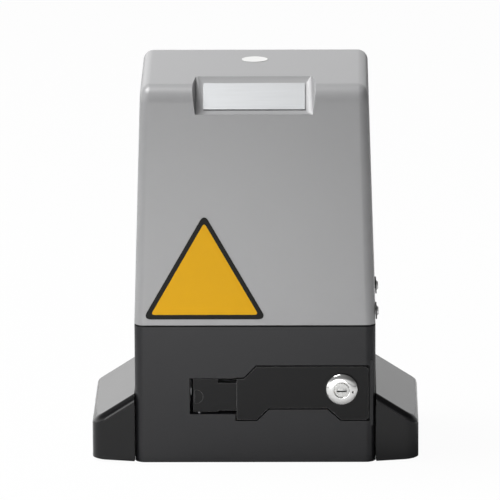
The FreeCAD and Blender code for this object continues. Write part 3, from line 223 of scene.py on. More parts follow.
def buildTintDrift():
    # slow drift of tone and a little uneven gloss
    group, source, result = newGroup(
        "tintDrift",
        [("Color", "NodeSocketColor", (0.5, 0.5, 0.5, 1)), ("Roughness", "NodeSocketFloat", 0.5),
         ("Scale", "NodeSocketFloat", 9.0), ("Tone", "NodeSocketFloat", 0.05),
         ("Gloss", "NodeSocketFloat", 0.08)],
        [("Color", "NodeSocketColor"), ("Roughness", "NodeSocketFloat")])
    tree, link = group.nodes, group.links.new
    place = tree.new("ShaderNodeTexCoord")
    drift = tree.new("ShaderNodeTexNoise")
    drift.inputs["Detail"].default_value = 4.0
    centred = tree.new("ShaderNodeMath")
    centred.operation = "SUBTRACT"
    centred.inputs[1].default_value = 0.5
    tone = tree.new("ShaderNodeMath")
    tone.operation = "MULTIPLY_ADD"
    tone.inputs[2].default_value = 1.0
    scaled = tree.new("ShaderNodeVectorMath")
    scaled.operation = "SCALE"
    gloss = tree.new("ShaderNodeMath")
    gloss.operation = "MULTIPLY_ADD"
    link(place.outputs["Object"], drift.inputs["Vector"])
    link(source.outputs["Scale"], drift.inputs["Scale"])
    link(drift.outputs["Fac"], centred.inputs[0])
    link(centred.outputs[0], tone.inputs[0])
    link(source.outputs["Tone"], tone.inputs[1])
    link(source.outputs["Color"], scaled.inputs["Vector"])
    link(tone.outputs[0], scaled.inputs["Scale"])
    link(centred.outputs[0], gloss.inputs[0])
    link(source.outputs["Gloss"], gloss.inputs[1])
    link(source.outputs["Roughness"], gloss.inputs[2])
    link(scaled.outputs["Vector"], result.inputs["Color"])
    link(gloss.outputs[0], result.inputs["Roughness"])
    return group


def buildEdgeMask():
    # 1 along sharp edges, broken up by noise, for worn, polished corners and for painted edge
    # highlights
    group, source, result = newGroup(
        "edgeMask", [("Radius", "NodeSocketFloat", 0.0006), ("Amount", "NodeSocketFloat", 4.0)],
        [("Mask", "NodeSocketFloat")])
    tree, link = group.nodes, group.links.new
    bevel = tree.new("ShaderNodeBevel")
    bevel.samples = 6
    surface = tree.new("ShaderNodeNewGeometry")
    facing = tree.new("ShaderNodeVectorMath")
    facing.operation = "DOT_PRODUCT"
    turned = tree.new("ShaderNodeMath")
    turned.operation = "SUBTRACT"
    turned.inputs[0].default_value = 1.0
    noise = tree.new("ShaderNodeTexNoise")
    noise.inputs["Scale"].default_value = 160.0
    place = tree.new("ShaderNodeTexCoord")
    strong = tree.new("ShaderNodeMath")
    strong.operation = "MULTIPLY"
    broken = tree.new("ShaderNodeMath")
    broken.operation = "MULTIPLY"
    broken.use_clamp = True
    link(source.outputs["Radius"], bevel.inputs["Radius"])
    link(bevel.outputs["Normal"], facing.inputs[0])
    link(surface.outputs["Normal"], facing.inputs[1])
    link(facing.outputs["Value"], turned.inputs[1])
    link(turned.outputs[0], strong.inputs[0])
    link(source.outputs["Amount"], strong.inputs[1])
    link(place.outputs["Object"], noise.inputs["Vector"])
    link(strong.outputs[0], broken.inputs[0])
    link(noise.outputs["Fac"], broken.inputs[1])
    link(broken.outputs[0], result.inputs["Mask"])
    return group


def buildBrushing():
    # long fine scratches along one axis of the piece
    group, source, result = newGroup(
        "brushing",
        [("Stretch", "NodeSocketVector", (20.0, 900.0, 900.0)),
         ("Depth", "NodeSocketFloat", 0.15), ("Radius", "NodeSocketFloat", 0.0003)],
        [("Normal", "NodeSocketVector"), ("Streak", "NodeSocketFloat")])
    tree, link = group.nodes, group.links.new
    place = tree.new("ShaderNodeTexCoord")
    stretch = tree.new("ShaderNodeVectorMath")
    stretch.operation = "MULTIPLY"
    streak = tree.new("ShaderNodeTexNoise")
    streak.inputs["Scale"].default_value = 1.0
    streak.inputs["Detail"].default_value = 4.0
    bevel = tree.new("ShaderNodeBevel")
    bevel.samples = 6
    bump = tree.new("ShaderNodeBump")
    bump.inputs["Distance"].default_value = 0.0002
    link(place.outputs["Object"], stretch.inputs[0])
    link(source.outputs["Stretch"], stretch.inputs[1])
    link(stretch.outputs["Vector"], streak.inputs["Vector"])
    link(source.outputs["Radius"], bevel.inputs["Radius"])
    link(bevel.outputs["Normal"], bump.inputs["Normal"])
    link(streak.outputs["Fac"], bump.inputs["Height"])
    link(source.outputs["Depth"], bump.inputs["Strength"])
    link(bump.outputs["Normal"], result.inputs["Normal"])
    link(streak.outputs["Fac"], result.inputs["Streak"])
    return group


softEdges = buildSoftEdges()
tintDrift = buildTintDrift()
edgeMask = buildEdgeMask()
brushing = buildBrushing()
print("shader groups built")


def addGroup(tree, group, **values):
    node = tree.nodes.new("ShaderNodeGroup")
    node.node_tree = group
    for name, value in values.items():
        node.inputs[name.replace("_", " ")].default_value = value
    return node


def newMaterial(name):
    material = bpy.data.materials.new(name)
    material.use_nodes = True
    return material, material.node_tree, material.node_tree.nodes["Principled BSDF"]


def mouldedFinish(name, color, roughness, grain=0.1, grainScale=900.0, edge=0.0004, tone=0.05,
                  gloss=0.08, specular=0.5, coat=0.0, metallic=0.0, wave=0.02):
    material, tree, shader = newMaterial(name)
    drift = addGroup(tree, tintDrift, Color=(*color, 1), Roughness=roughness, Tone=tone,
                     Gloss=gloss)
    normal = addGroup(tree, softEdges, Radius=edge, Grain_Scale=grainScale, Grain_Depth=grain,
                      Wave_Depth=wave)
    tree.links.new(drift.outputs["Color"], shader.inputs["Base Color"])
    tree.links.new(drift.outputs["Roughness"], shader.inputs["Roughness"])
    tree.links.new(normal.outputs["Normal"], shader.inputs["Normal"])
    shader.inputs["Specular IOR Level"].default_value = specular
    shader.inputs["Coat Weight"].default_value = coat
    shader.inputs["Coat Roughness"].default_value = 0.12
    shader.inputs["Metallic"].default_value = metallic
    return material


# edges mixed towards a second colour: real wear on the pinion, a painted highlight along the
# lever's edges
def wearAndHighlightFinish(name, color, wearAndHighlightColor, roughness, amount=3.0, edge=0.0005, grain=0.1,
               grainScale=700.0, metallic=0.0, specular=0.5):
    material, tree, shader = newMaterial(name)
    drift = addGroup(tree, tintDrift, Color=(*color, 1), Roughness=roughness, Tone=0.06)
    normal = addGroup(tree, softEdges, Radius=edge, Grain_Scale=grainScale, Grain_Depth=grain)
    mask = addGroup(tree, edgeMask, Radius=edge, Amount=amount)
    mix = tree.nodes.new("ShaderNodeMix")
    mix.data_type = "RGBA"
    mix.inputs["B"].default_value = (*wearAndHighlightColor, 1)
    shader.inputs["Specular IOR Level"].default_value = specular
    tree.links.new(mask.outputs["Mask"], mix.inputs["Factor"])
    tree.links.new(drift.outputs["Color"], mix.inputs["A"])
    tree.links.new(mix.outputs["Result"], shader.inputs["Base Color"])
    tree.links.new(drift.outputs["Roughness"], shader.inputs["Roughness"])
    tree.links.new(normal.outputs["Normal"], shader.inputs["Normal"])
    shader.inputs["Metallic"].default_value = metallic
    return material


def brushedFinish(name, color, roughness, stretch, depth=0.15, spread=0.12, metallic=1.0,
                  edge=0.0003):
    material, tree, shader = newMaterial(name)
    streak = addGroup(tree, brushing, Stretch=stretch, Depth=depth, Radius=edge)
    tone = tree.nodes.new("ShaderNodeMapRange")
    tone.inputs["To Min"].default_value = roughness - spread / 2
    tone.inputs["To Max"].default_value = roughness + spread / 2
    shade = tree.nodes.new("ShaderNodeMix")
    shade.data_type = "RGBA"
    darker, lighter = 0.88, 1.08
    shade.inputs["A"].default_value = (*[part * darker for part in color], 1)
    shade.inputs["B"].default_value = (*[min(part * lighter, 1) for part in color], 1)
    tree.links.new(streak.outputs["Streak"], tone.inputs["Value"])
    tree.links.new(streak.outputs["Streak"], shade.inputs["Factor"])
    tree.links.new(shade.outputs["Result"], shader.inputs["Base Color"])
    tree.links.new(tone.outputs["Result"], shader.inputs["Roughness"])
    tree.links.new(streak.outputs["Normal"], shader.inputs["Normal"])
    shader.inputs["Metallic"].default_value = metallic
    return material


finishes = {
    "base_grey": mouldedFinish("baseGrey", (0.013, 0.013, 0.0148), 0.42, grain=0.12, tone=0.08,
                              specular=0.36),
    "seal_rubber": mouldedFinish("sealRubber", (0.006, 0.006, 0.006), 0.8, grain=0.3),
    "cover_grey": mouldedFinish("coverGrey", (0.39, 0.39, 0.396), 0.34, grain=0.05, tone=0.03,
                                gloss=0.05, edge=0.0006),
    "silver_plate": brushedFinish("silverPlate", (0.50, 0.51, 0.52), 0.42, (30, 1600, 1600),
                                  metallic=0.4),
    "zinc": brushedFinish("zincPlate", (0.72, 0.72, 0.72), 0.3, (500, 500, 500)),
    "dark_washer": mouldedFinish("darkWasher", (0.02, 0.02, 0.02), 0.5, grain=0.2),
    "foot_plastic": mouldedFinish("footPlastic", (0.004, 0.004, 0.0046), 0.16, grain=0.05,
                                  tone=0.08, specular=0.38),
    "steel": brushedFinish("turnedSteel", (0.56, 0.56, 0.58), 0.3, (700, 60, 700)),
    "cast_aluminium": mouldedFinish("castAluminium", (0.52, 0.52, 0.53), 0.55, grain=0.6,
                                    grainScale=450.0, metallic=0.9, tone=0.12),
    "bearing_steel": brushedFinish("bearingSteel", (0.7, 0.7, 0.72), 0.16, (300, 300, 300), 0.05),
    "lamination": brushedFinish("lamination", (0.25, 0.25, 0.27), 0.45, (60, 60, 3000), 0.4),
    "copper": brushedFinish("copperWinding", (0.62, 0.26, 0.11), 0.35, (500, 500, 2500), 0.6),
    "motor_aluminium": mouldedFinish("motorAluminium", (0.56, 0.57, 0.58), 0.5, grain=0.4,
                                     grainScale=500.0, metallic=0.9, tone=0.1),
    "spring_steel": brushedFinish("springSteel", (0.42, 0.42, 0.43), 0.3, (900, 900, 900)),
    "carrier_plastic": mouldedFinish("carrierPlastic", (0.03, 0.03, 0.032), 0.5, grain=0.2),
    "board_green": mouldedFinish("boardGreen", (0.012, 0.12, 0.045), 0.35, tone=0.25, coat=0.3),
    "terminal_plastic": mouldedFinish("terminalPlastic", (0.02, 0.26, 0.09), 0.35, tone=0.1),
    "relay_plastic": mouldedFinish("relayPlastic", (0.015, 0.05, 0.28), 0.3, tone=0.1),
    "button_plastic": mouldedFinish("buttonPlastic", (0.02, 0.02, 0.02), 0.35),
    "capacitor_plastic": mouldedFinish("capacitorPlastic", (0.72, 0.72, 0.70), 0.3, tone=0.04),
    "switch_plastic": mouldedFinish("switchPlastic", (0.024, 0.024, 0.026), 0.42, grain=0.15),
    "bronze": brushedFinish("bronze", (0.62, 0.40, 0.16), 0.32, (700, 60, 700)),
    "pinion_steel": wearAndHighlightFinish("pinionSteel", (0.33, 0.33, 0.34), (0.6, 0.6, 0.61), 0.38,
                               metallic=0.95),
    # the light edge colour here is a painted highlight along the lever's edges
    "lever_black": wearAndHighlightFinish("leverBlack", (0.004, 0.004, 0.0044), (0.24, 0.24, 0.24), 0.42,
                              amount=6.0, edge=0.0007, specular=0.22),
    "chrome": brushedFinish("lockChrome", (0.80, 0.80, 0.79), 0.12, (250, 250, 250), 0.03, 0.06),
    "lock_plug_metal": brushedFinish("lockPlug", (0.56, 0.56, 0.55), 0.28, (900, 900, 900)),
    "button_red": mouldedFinish("buttonRed", (0.5, 0.03, 0.03), 0.3),
}
slotOf = {part["node"]: part["material_slot"] for part in frame["record"]["subparts"]}
for nodeName, node in nodes.items():
    dress(node, finishes[slotOf[nodeName]])
print("finishes assigned to", len(nodes), "nodes")

skins = {}
for nodeName in ("top_cover", "base_casting", "release_lever", "output_pinion"):
    skins[nodeName] = smoothSkin(nodeName)
    dress(skins[nodeName], finishes[slotOf[nodeName]])
print("skins made")


def makePlungerSpring():
    # merged copy of the coil with a mesh of its own; the real coil shortens towards its back end
    # as the plunger goes in
    spring = smoothSkin("plunger_spring")
    dress(spring, finishes["spring_steel"])
    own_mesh(spring)


makePlungerSpring()
print("plunger spring made")

leverShape = {"cornerRound": 2.6, "steps": 6}


def roundLeverCorners():
    # the edges that run from front to back at the lever's outer end
    lever = skins["release_lever"]
    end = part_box("release_lever")[1][0] - 0.1 * mm
    activate(lever)
    bpy.ops.object.mode_set(mode="EDIT")
    selectWhere(lever, "EDGE", lambda a, b: min(a.x, b.x) > end
                and abs(a.z - b.z) < level and abs(a.y - b.y) > mm)
    bpy.ops.mesh.bevel(offset=leverShape["cornerRound"] * mm, segments=leverShape["steps"],
                       affect="EDGES")
    bpy.ops.object.mode_set(mode="OBJECT")
    shadeByFaces(lever)


roundLeverCorners()
print("lever corners rounded")

footShape = {
    "innerRise": 1.6, "outerTop": 32.8, "backFall": 2.2, "bottomLift": 2.0, "wall": 2.2,
    "gap": 0.5, "cornerRound": 11.0, "backRound": 4.0, "roofRound": 5.6,
    "backRoof": 0.4,  # share of the roof's round that the sides and back have
    "frontRoof": 0.9,  # share of the corner that still has the whole round
    "rimLowest": 20.0, "uprightLeast": 10.0,  # tell the roof's edges from the upright ones
    "ribs": (-32.0, 18.0), "ribThick": 2.0, "ribFoot": 4.0, "ribInner": 2.0, "ribOuter": 1.0,
    "ribUnder": 2.0, "ribSink": 1.5,
    "lipBack": 2.6, "lipThick": 3.0, "lipInner": 2.0, "lipUnder": 9.0, "lipGap": 0.05,
}


def moveWhere(piece, test, shift):
    selectWhere(piece, "EDGE", test)
    bpy.ops.transform.translate(value=shift)


def boxBetween(name, low, high):
    clearSelection()
    middle = [(a + b) / 2 for a, b in zip(low, high)]
    bpy.ops.mesh.primitive_cube_add(size=1, location=middle)
    piece = bpy.context.object
    piece.name = name
    piece.scale = [b - a for a, b in zip(low, high)]
    applyPlace(piece)
    return piece


def roundFootRoof(hood, low, high):
    # full round along the front and over its corner, a smaller one round the rest
    values = footShape
    cornerEnd = low.y + values["frontRoof"] * values["cornerRound"] * mm

    def onRim(a, b):
        againstHousing = max(a.x, b.x) < low.x + near
        raised = min(a.z, b.z) > low.z + values["rimLowest"] * mm
        upright = (abs(a.z - b.z) > values["uprightLeast"] * mm
                   and abs(a.x - b.x) < near and abs(a.y - b.y) < near)
        return raised and not againstHousing and not upright

    selectWhere(hood, "EDGE", onRim)
    bpy.ops.object.mode_set(mode="OBJECT")
    weights = hood.data.attributes.new("bevel_weight_edge", "FLOAT", "EDGE")
    points = hood.data.vertices
    for edge in hood.data.edges:
        if edge.select:
            depths = [points[index].co.y for index in edge.vertices]
            front = min(depths) < cornerEnd and max(depths) < 0
            weights.data[edge.index].value = 1.0 if front else values["backRoof"]
    rim = hood.modifiers.new("rim", "BEVEL")
    rim.limit_method = "WEIGHT"
    rim.width = values["roofRound"] * mm
    rim.segments = 7
    applyModifiers(hood)


def openFootCover(hood):
    # no floor and no inner side, and the rest gets its wall
    bpy.ops.object.mode_set(mode="EDIT")
    selectWhere(hood, "FACE", lambda middle, normal: normal.z < -facing or normal.x < -facing)
    bpy.ops.mesh.delete(type="FACE")
    bpy.ops.mesh.select_all(action="SELECT")
    bpy.ops.mesh.remove_doubles(threshold=merge)
    bpy.ops.object.mode_set(mode="OBJECT")
    wall = hood.modifiers.new("wall", "SOLIDIFY")
    wall.thickness = footShape["wall"] * mm
    wall.offset = -1
    wall.use_even_offset = True
    applyModifiers(hood)


def makeFootRib(across, low, high, slope):
    # runs from the housing to the outer wall, and slopes with the roof
    values = footShape
    start = Vector((low.x + values["ribInner"] * mm, across * mm, low.z + values["ribFoot"] * mm))
    end = Vector((high.x - values["ribOuter"] * mm, (across + values["ribThick"]) * mm,
                  high.z - values["ribUnder"] * mm))
    rib = boxBetween("footRib", start, end)
    bpy.ops.object.mode_set(mode="EDIT")
    moveWhere(rib, lambda a, b: min(a.x, b.x) > end.x - near and min(a.z, b.z) > end.z - near,
              (0, 0, -slope * (end.x - start.x)))
    moveWhere(rib, lambda a, b: min(a.z, b.z) > start.z + near,
              (0, 0, -values["ribSink"] * mm))
    bpy.ops.object.mode_set(mode="OBJECT")
    return rib


def makeFootCover(nodeName):
    # modelled on the right, and mirrored for the left
    values = footShape
    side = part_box("base_casting")[1][0]
    low, high = [Vector(corner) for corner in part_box("right_foot_cover")]
    high.z += values["innerRise"] * mm
    low.x = side + values["gap"] * mm
    fall = high.z - values["outerTop"] * mm
    outer = high.x - near
    hood = boxBetween(nodeName + "Skin", low, high)
    bpy.ops.object.mode_set(mode="EDIT")
    moveWhere(hood, lambda a, b: min(a.x, b.x) > outer and min(a.z, b.z) > high.z - near,
              (0, 0, -fall))
    moveWhere(hood, lambda a, b: min(a.y, b.y) > high.y - near and min(a.z, b.z) > low.z + near,
              (0, 0, -values["backFall"] * mm))
    moveWhere(hood, lambda a, b: min(a.x, b.x) > outer and max(a.z, b.z) < low.z + near,
              (0, 0, values["bottomLift"] * mm))
    selectWhere(hood, "EDGE", lambda a, b: min(a.x, b.x) > outer and max(a.y, b.y) < low.y + near)
    bpy.ops.mesh.bevel(offset=values["cornerRound"] * mm, segments=10, affect="EDGES")
    selectWhere(hood, "EDGE", lambda a, b: min(a.x, b.x) > outer and min(a.y, b.y) > high.y - near)
    bpy.ops.mesh.bevel(offset=values["backRound"] * mm, segments=5, affect="EDGES")
    roundFootRoof(hood, low, high)
    openFootCover(hood)
    parts = [hood]
    for across in values["ribs"]:
        parts.append(makeFootRib(across, low, high, fall / (high.x - low.x)))
    lipFront = low.y + values["lipBack"] * mm
    parts.append(boxBetween("footLip", (side + values["lipGap"] * mm, lipFront, low.z),
                            (low.x + values["lipInner"] * mm, lipFront + values["lipThick"] * mm,
                             high.z - values["lipUnder"] * mm)))
    joinPieces(parts)
    if nodeName.startswith("left"):
        hood.data.transform(Matrix.Scale(-1, 4, Vector((1, 0, 0))))
        hood.data.flip_normals()
    shadeByFaces(hood, 34)
    dress(hood, finishes["foot_plastic"])
    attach(hood, nodes[nodeName]["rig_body"])
    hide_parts(nodeName)


for footName in ("left_foot_cover", "right_foot_cover"):
    makeFootCover(footName)
print("foot covers made")

lockShape = {
    "proud": 4.6, "barrelRadius": 9.5, "capEdge": 0.25, "domeFoot": 0.4, "crown": 0.15,
    "faceRadius": 6.15, "faceSink": 0.25, "lip": 0.3, "mouthEdge": 0.15, "mouthSink": 0.4,
    "boreSink": 0.6, "plugRadius": 5.75, "plugGap": 0.1, "plugEdge": 0.35, "plugFront": 0.5,
    "plugShoulder": 0.75, "plugBack": 2.6, "plugFaceDepth": 3.0,
    "dotRadius": 0.9, "dotPlace": 8.6, "dotDrop": 1.4, "dotFloor": 2.0, "dotOver": 1.0,
    "dotGap": 0.02, "dotEdge": 0.3, "dotBack": 1.9, "dotShoulder": 0.9, "dotFront": 0.7,
    "slotWide": 7.6, "slotHigh": 2.6, "slotDeep": 2.4, "slotOver": 2.0,
    "shutterHigh": 1.7, "shutterFront": 1.2, "shutterBack": 2.3, "shutterCrown": 0.5,
    "slotFloor": 2.5,
}


def turnProfile(name, profile, sides=72):
    # revolve a profile of (radius, height) pairs round Z, one ring at a time
    startRadius, startHeight = profile[0][0] * mm, profile[0][1] * mm
    same = 0.001 * mm
    clearSelection()
    bpy.ops.mesh.primitive_circle_add(vertices=sides, radius=startRadius,
                                      location=(0, 0, startHeight))
    piece = bpy.context.object
    piece.name = name
    applyPlace(piece)
    bpy.ops.object.mode_set(mode="EDIT")
    bpy.ops.mesh.select_all(action="SELECT")
    for (radius, height), (nextRadius, nextHeight) in zip(profile, profile[1:]):
        ratio = nextRadius / radius
        bpy.ops.mesh.extrude_region_move()
        bpy.ops.transform.resize(value=(ratio, ratio, 1))
        bpy.ops.transform.translate(value=(0, 0, (nextHeight - height) * mm))
    if profile[0] != profile[-1]:
        bpy.ops.mesh.edge_face_add()
        selectWhere(piece, "EDGE", lambda a, b: abs(a.z - startHeight) < same
                    and abs(b.z - a.z) < same and abs(a.xy.length - startRadius) < same)
        bpy.ops.mesh.edge_face_add()
    bpy.ops.mesh.select_all(action="SELECT")
    bpy.ops.mesh.remove_doubles(threshold=merge)
    bpy.ops.mesh.normals_make_consistent(inside=False)
    bpy.ops.object.mode_set(mode="OBJECT")
    return piece


def cutAway(piece, cutter):
    away = piece.modifiers.new("cut", "BOOLEAN")
    away.operation = "DIFFERENCE"
    away.solver = "EXACT"
    away.object = cutter
    applyModifiers(piece)
    bpy.data.objects.remove(cutter)


def faceFront(piece, centre):
    # Z of the turned piece points out of the front
    piece.data.transform(Matrix.Rotation(math.radians(90), 4, "X"))
    piece.data.transform(Matrix.Translation(centre))


def moveToDot(piece):
    piece.data.transform(Matrix.Translation((lockShape["dotPlace"] * mm,
                                             -lockShape["dotDrop"] * mm, 0)))


def makeLockShell(centre, radius, depth):
    # barrel, domed cap, and the sunk mouth round the plug
    values = lockShape
    face, proud, edge = values["faceRadius"], values["proud"], values["capEdge"]
    bore, barrel = values["plugRadius"] + values["plugGap"], values["barrelRadius"]
    foot, lip = -proud + values["domeFoot"], face + values["lip"]
    steps = 8
    dome = []
    for step in range(steps + 1):
        turn = math.radians(90 * step / steps)
        dome.append((lip + (radius - lip) * math.cos(turn),
                     foot + (-values["crown"] - foot) * math.sin(turn)))
    shell = turnProfile("lockShell", [
        (bore, -depth), (barrel, -depth), (barrel, -proud), (radius - edge, -proud),
        (radius, -proud + edge)] + dome + [
        (face, -values["faceSink"]), (bore + values["mouthEdge"], -values["mouthSink"]),
        (bore, -values["boreSink"]), (bore, -depth)])
    hole = turnProfile("dotCutter", [(values["dotRadius"], -values["dotFloor"]),
                                     (values["dotRadius"], values["dotOver"])], 20)
    moveToDot(hole)
    cutAway(shell, hole)
    faceFront(shell, centre)
    dress(shell, finishes["chrome"])
    shadeByFaces(shell, 30)
    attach(shell, nodes["lock_body"]["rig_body"])
    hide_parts("lock_body")


def makeKeyShutter():
    # sprung flap behind the key slot, bulging a little in its middle
    values = lockShape
    half, top = values["slotWide"] / 2 * mm, values["slotHigh"] / 2 * mm
    front, back = -values["shutterFront"] * mm, -values["shutterBack"] * mm
    shutter = boxBetween("keyShutter", (-half, top - values["shutterHigh"] * mm, back),
                         (half, top, front))
    bpy.ops.object.mode_set(mode="EDIT")
    selectWhere(shutter, "FACE", lambda middle, normal: normal.z > facing)
    bpy.ops.mesh.subdivide(number_cuts=7)
    bpy.ops.object.mode_set(mode="OBJECT")
    for vertex in shutter.data.vertices:
        if vertex.co.z > (front + back) / 2:
            bulge = math.cos(vertex.co.x / half * math.pi / 2)
            vertex.co.z += values["shutterCrown"] * mm * bulge
    return shutter


def makeLock():
    values = lockShape
    low, high = [Vector(corner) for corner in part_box("lock_body")]
    centre = Vector(((low.x + high.x) / 2, low.y, (low.z + high.z) / 2))
    makeLockShell(centre, (high.x - low.x) / 2 / mm, (high.y - low.y) / mm)
    plug = smoothSkin("lock_plug")
    dress(plug, finishes["lock_plug_metal"])
    bpy.ops.object.mode_set(mode="EDIT")
    faceDepth = low.y + values["plugFaceDepth"] * mm
    moveWhere(plug, lambda a, b: max(a.y, b.y) < faceDepth, (0, values["plugBack"] * mm, 0))
    bpy.ops.object.mode_set(mode="OBJECT")
    plugRadius = values["plugRadius"]
    plugFace = turnProfile("lockFace", [
        (plugRadius, -values["plugBack"]), (plugRadius, -values["plugShoulder"]),
        (plugRadius - values["plugEdge"], -values["plugFront"])])
    half, tall = values["slotWide"] / 2 * mm, values["slotHigh"] / 2 * mm
    deep, floor = -values["slotDeep"] * mm, -values["slotFloor"] * mm
    cutAway(plugFace, boxBetween("slotCutter", (-half, -tall, deep),
                                 (half, tall, values["slotOver"] * mm)))
    shutter = makeKeyShutter()
    # dark plate at the bottom of the key slot: painted shade inside the slot, dressed in the seal
    # rubber finish
    keySlotShadePlate = boxBetween("keySlotShadePlate", (-half, -tall, floor),
                          (half, tall, -values["shutterBack"] * mm))
    dotRadius = values["dotRadius"] - values["dotGap"]
    dot = turnProfile("lockDot", [
        (dotRadius, -values["dotBack"]), (dotRadius, -values["dotShoulder"]),
        (values["dotRadius"] - values["dotEdge"], -values["dotFront"])], 20)
    moveToDot(dot)
    for piece, finish, carrier in (
            (plugFace, "lock_plug_metal", "lock_plug"), (shutter, "lock_plug_metal", "lock_plug"),
            (keySlotShadePlate, "seal_rubber", "lock_plug"), (dot, "seal_rubber", "lock_body")):
        faceFront(piece, centre)
        dress(piece, finishes[finish])
        shadeByFaces(piece, 30)
        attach(piece, nodes[carrier]["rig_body"])


makeLock()
print("lock made")

armShape = {
    "hubRadius": 5.5, "hubEdge": 0.4, "hubLow": 2.8, "hubHigh": 10.2, "tall": 13.0,
    "pinRadius": 1.5, "pinDrop": 1.5,
    "hubTop": ((2.6, 0.0), (2.4, 0.6), (1.5, 0.7), (1.3, 1.4)),  # radius, height over the hub
    "coilRadius": 1.75, "wireRadius": 0.45, "pitch": 1.15, "coilStart": 5.0, "length": 48.0,
    "coilEnd": 1.5, "coreRadius": 1.2, "coreStart": 4.0, "tipRadius": 3.2, "tipNeck": 2.8,
}


def makeArmCoil():
    # one ring of wire, wound up by the screw modifier
    values = armShape
    clearSelection()
    bpy.ops.mesh.primitive_circle_add(vertices=8, radius=values["wireRadius"] * mm,
                                      location=(values["coilRadius"] * mm, 0, 0),
                                      rotation=(math.radians(90), 0, 0))
    coil = bpy.context.object
    applyPlace(coil)
    winding = coil.modifiers.new("winding", "SCREW")
    winding.axis = "Z"
    winding.angle = math.tau
    winding.screw_offset = values["pitch"] * mm
    winding.iterations = round((values["length"] - values["coilStart"] - values["coilEnd"])
                               / values["pitch"])
    winding.steps = winding.render_steps = 14
    winding.use_merge_vertices = True
    winding.merge_threshold = level
    applyModifiers(coil)
    bpy.ops.object.mode_set(mode="EDIT")
    bpy.ops.mesh.select_all(action="SELECT")
    bpy.ops.mesh.fill_holes(sides=8)
    bpy.ops.mesh.select_all(action="SELECT")
    bpy.ops.mesh.normals_make_consistent(inside=False)
    bpy.ops.object.mode_set(mode="OBJECT")
    coil.data.transform(Matrix.Translation((0, 0, values["coilStart"] * mm)))
    return coil


def makeLimitArm():
    # close-wound spring on a turning hub, with a round tip
    values = armShape
    low, high = [Vector(corner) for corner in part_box("limit_arm")]
    across, middle = (low.x + high.x) / 2, (low.z + high.z) / 2
    depth = low.y + values["hubRadius"] * mm
    radius, edge, pin = values["hubRadius"], values["hubEdge"], values["pinRadius"]
    tall = values["hubHigh"] - values["hubLow"]
    hub = turnProfile("limitArmSkin", [
        (pin, -values["pinDrop"]), (pin, 0), (radius - edge, 0), (radius, edge),
        (radius, tall - edge), (radius - edge, tall)] + [
        (topRadius, tall + rise) for topRadius, rise in values["hubTop"]], 40)
    hub.data.transform(Matrix.Translation(
        (across, depth, middle + (values["hubLow"] - values["tall"] / 2) * mm)))
    coil = makeArmCoil()
    tipRadius, length = values["tipRadius"], values["length"]
    rounded = [(tipRadius * math.cos(math.radians(angle)),
                length + tipRadius * math.sin(math.radians(angle)))
               for angle in range(-45, 81, 15)]
    tip = turnProfile("armTip", [(values["coreRadius"], values["coreStart"]),
                                 (values["coreRadius"], length - values["tipNeck"])] + rounded, 32)
    for piece in (coil, tip):
        piece.data.transform(Matrix.Rotation(math.radians(-90), 4, "X"))
        piece.data.transform(Matrix.Translation((across, depth, middle)))
    joinPieces([hub, coil, tip])
    bpy.ops.object.shade_smooth_by_angle(angle=math.radians(35))
    dress(hub, finishes["spring_steel"])
    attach(hub, nodes["limit_arm"]["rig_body"])
    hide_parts("limit_arm")


makeLimitArm()
print("limit arm made")

screwShape = {"headRadius": 4.0, "crossWide": 1.0, "crossLong": 4.4, "crossDeep": 1.3,
              "crossOver": 2.0, "flatten": 0.62, "lean": 2.5}


def makeCoverScrews():
    # cross recess in each domed head, then heads and washers lie on the cover's draft
    values = screwShape
    screws = smoothSkin("cover_screws", 40)
    washers = smoothSkin("cover_washers", 40)
    dress(screws, finishes["zinc"])
    dress(washers, finishes["dark_washer"])
    low, high = [Vector(corner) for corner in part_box("cover_screws")]
    half, wide = values["crossLong"] / 2 * mm, values["crossWide"] / 2 * mm
    floor, over = high.x - values["crossDeep"] * mm, high.x + values["crossOver"] * mm
    middle = (low.z + high.z) / 2
    for across in (low.y + values["headRadius"] * mm, high.y - values["headRadius"] * mm):
        for reach, rise in ((half, wide), (wide, half)):
            cutAway(screws, boxBetween("crossCutter", (floor, across - reach, middle - rise),
                                       (over, across + reach, middle + rise)))
    foot = Vector((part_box("cover_washers")[0][0], 0, middle))
    for piece in (screws, washers):
        piece.data.transform(Matrix.Translation(-foot))
        piece.data.transform(Matrix.Scale(values["flatten"], 4, Vector((1, 0, 0))))
        piece.data.transform(Matrix.Rotation(math.radians(-values["lean"]), 4, "Y"))
        piece.data.transform(Matrix.Translation(foot))


makeCoverScrews()
print("cover screws made")

coverPlace = {
    "triangleLeft": -85.85, "triangleRight": 9.05, "triangleBase": 113.3, "borderWidth": 3.6,
    "cornerRound": 6.0, "decalThick": 0.25, "decalSink": 0.05,
    "fieldRound": 0.45,  # share of the border's corner round
    "fieldFront": 1.4, "fieldBack": 0.5,  # shares of the border's thickness
    "leanFrom": 115.0, "leanTo": 190.0,  # heights that give the front's slope
    "borderColor": (0.004, 0.004, 0.003), "fieldColor": (0.88, 0.46, 0.001),
    "badgeX": -0.3, "badgeDepth": 25.5, "badgeWide": 20.0, "badgeLong": 17.0, "badgeThick": 0.5,
    "badgeRim": 0.8, "badgeStep": 0.3, "badgeSink": 0.15, "badgeColor": (0.86, 0.86, 0.85),
}


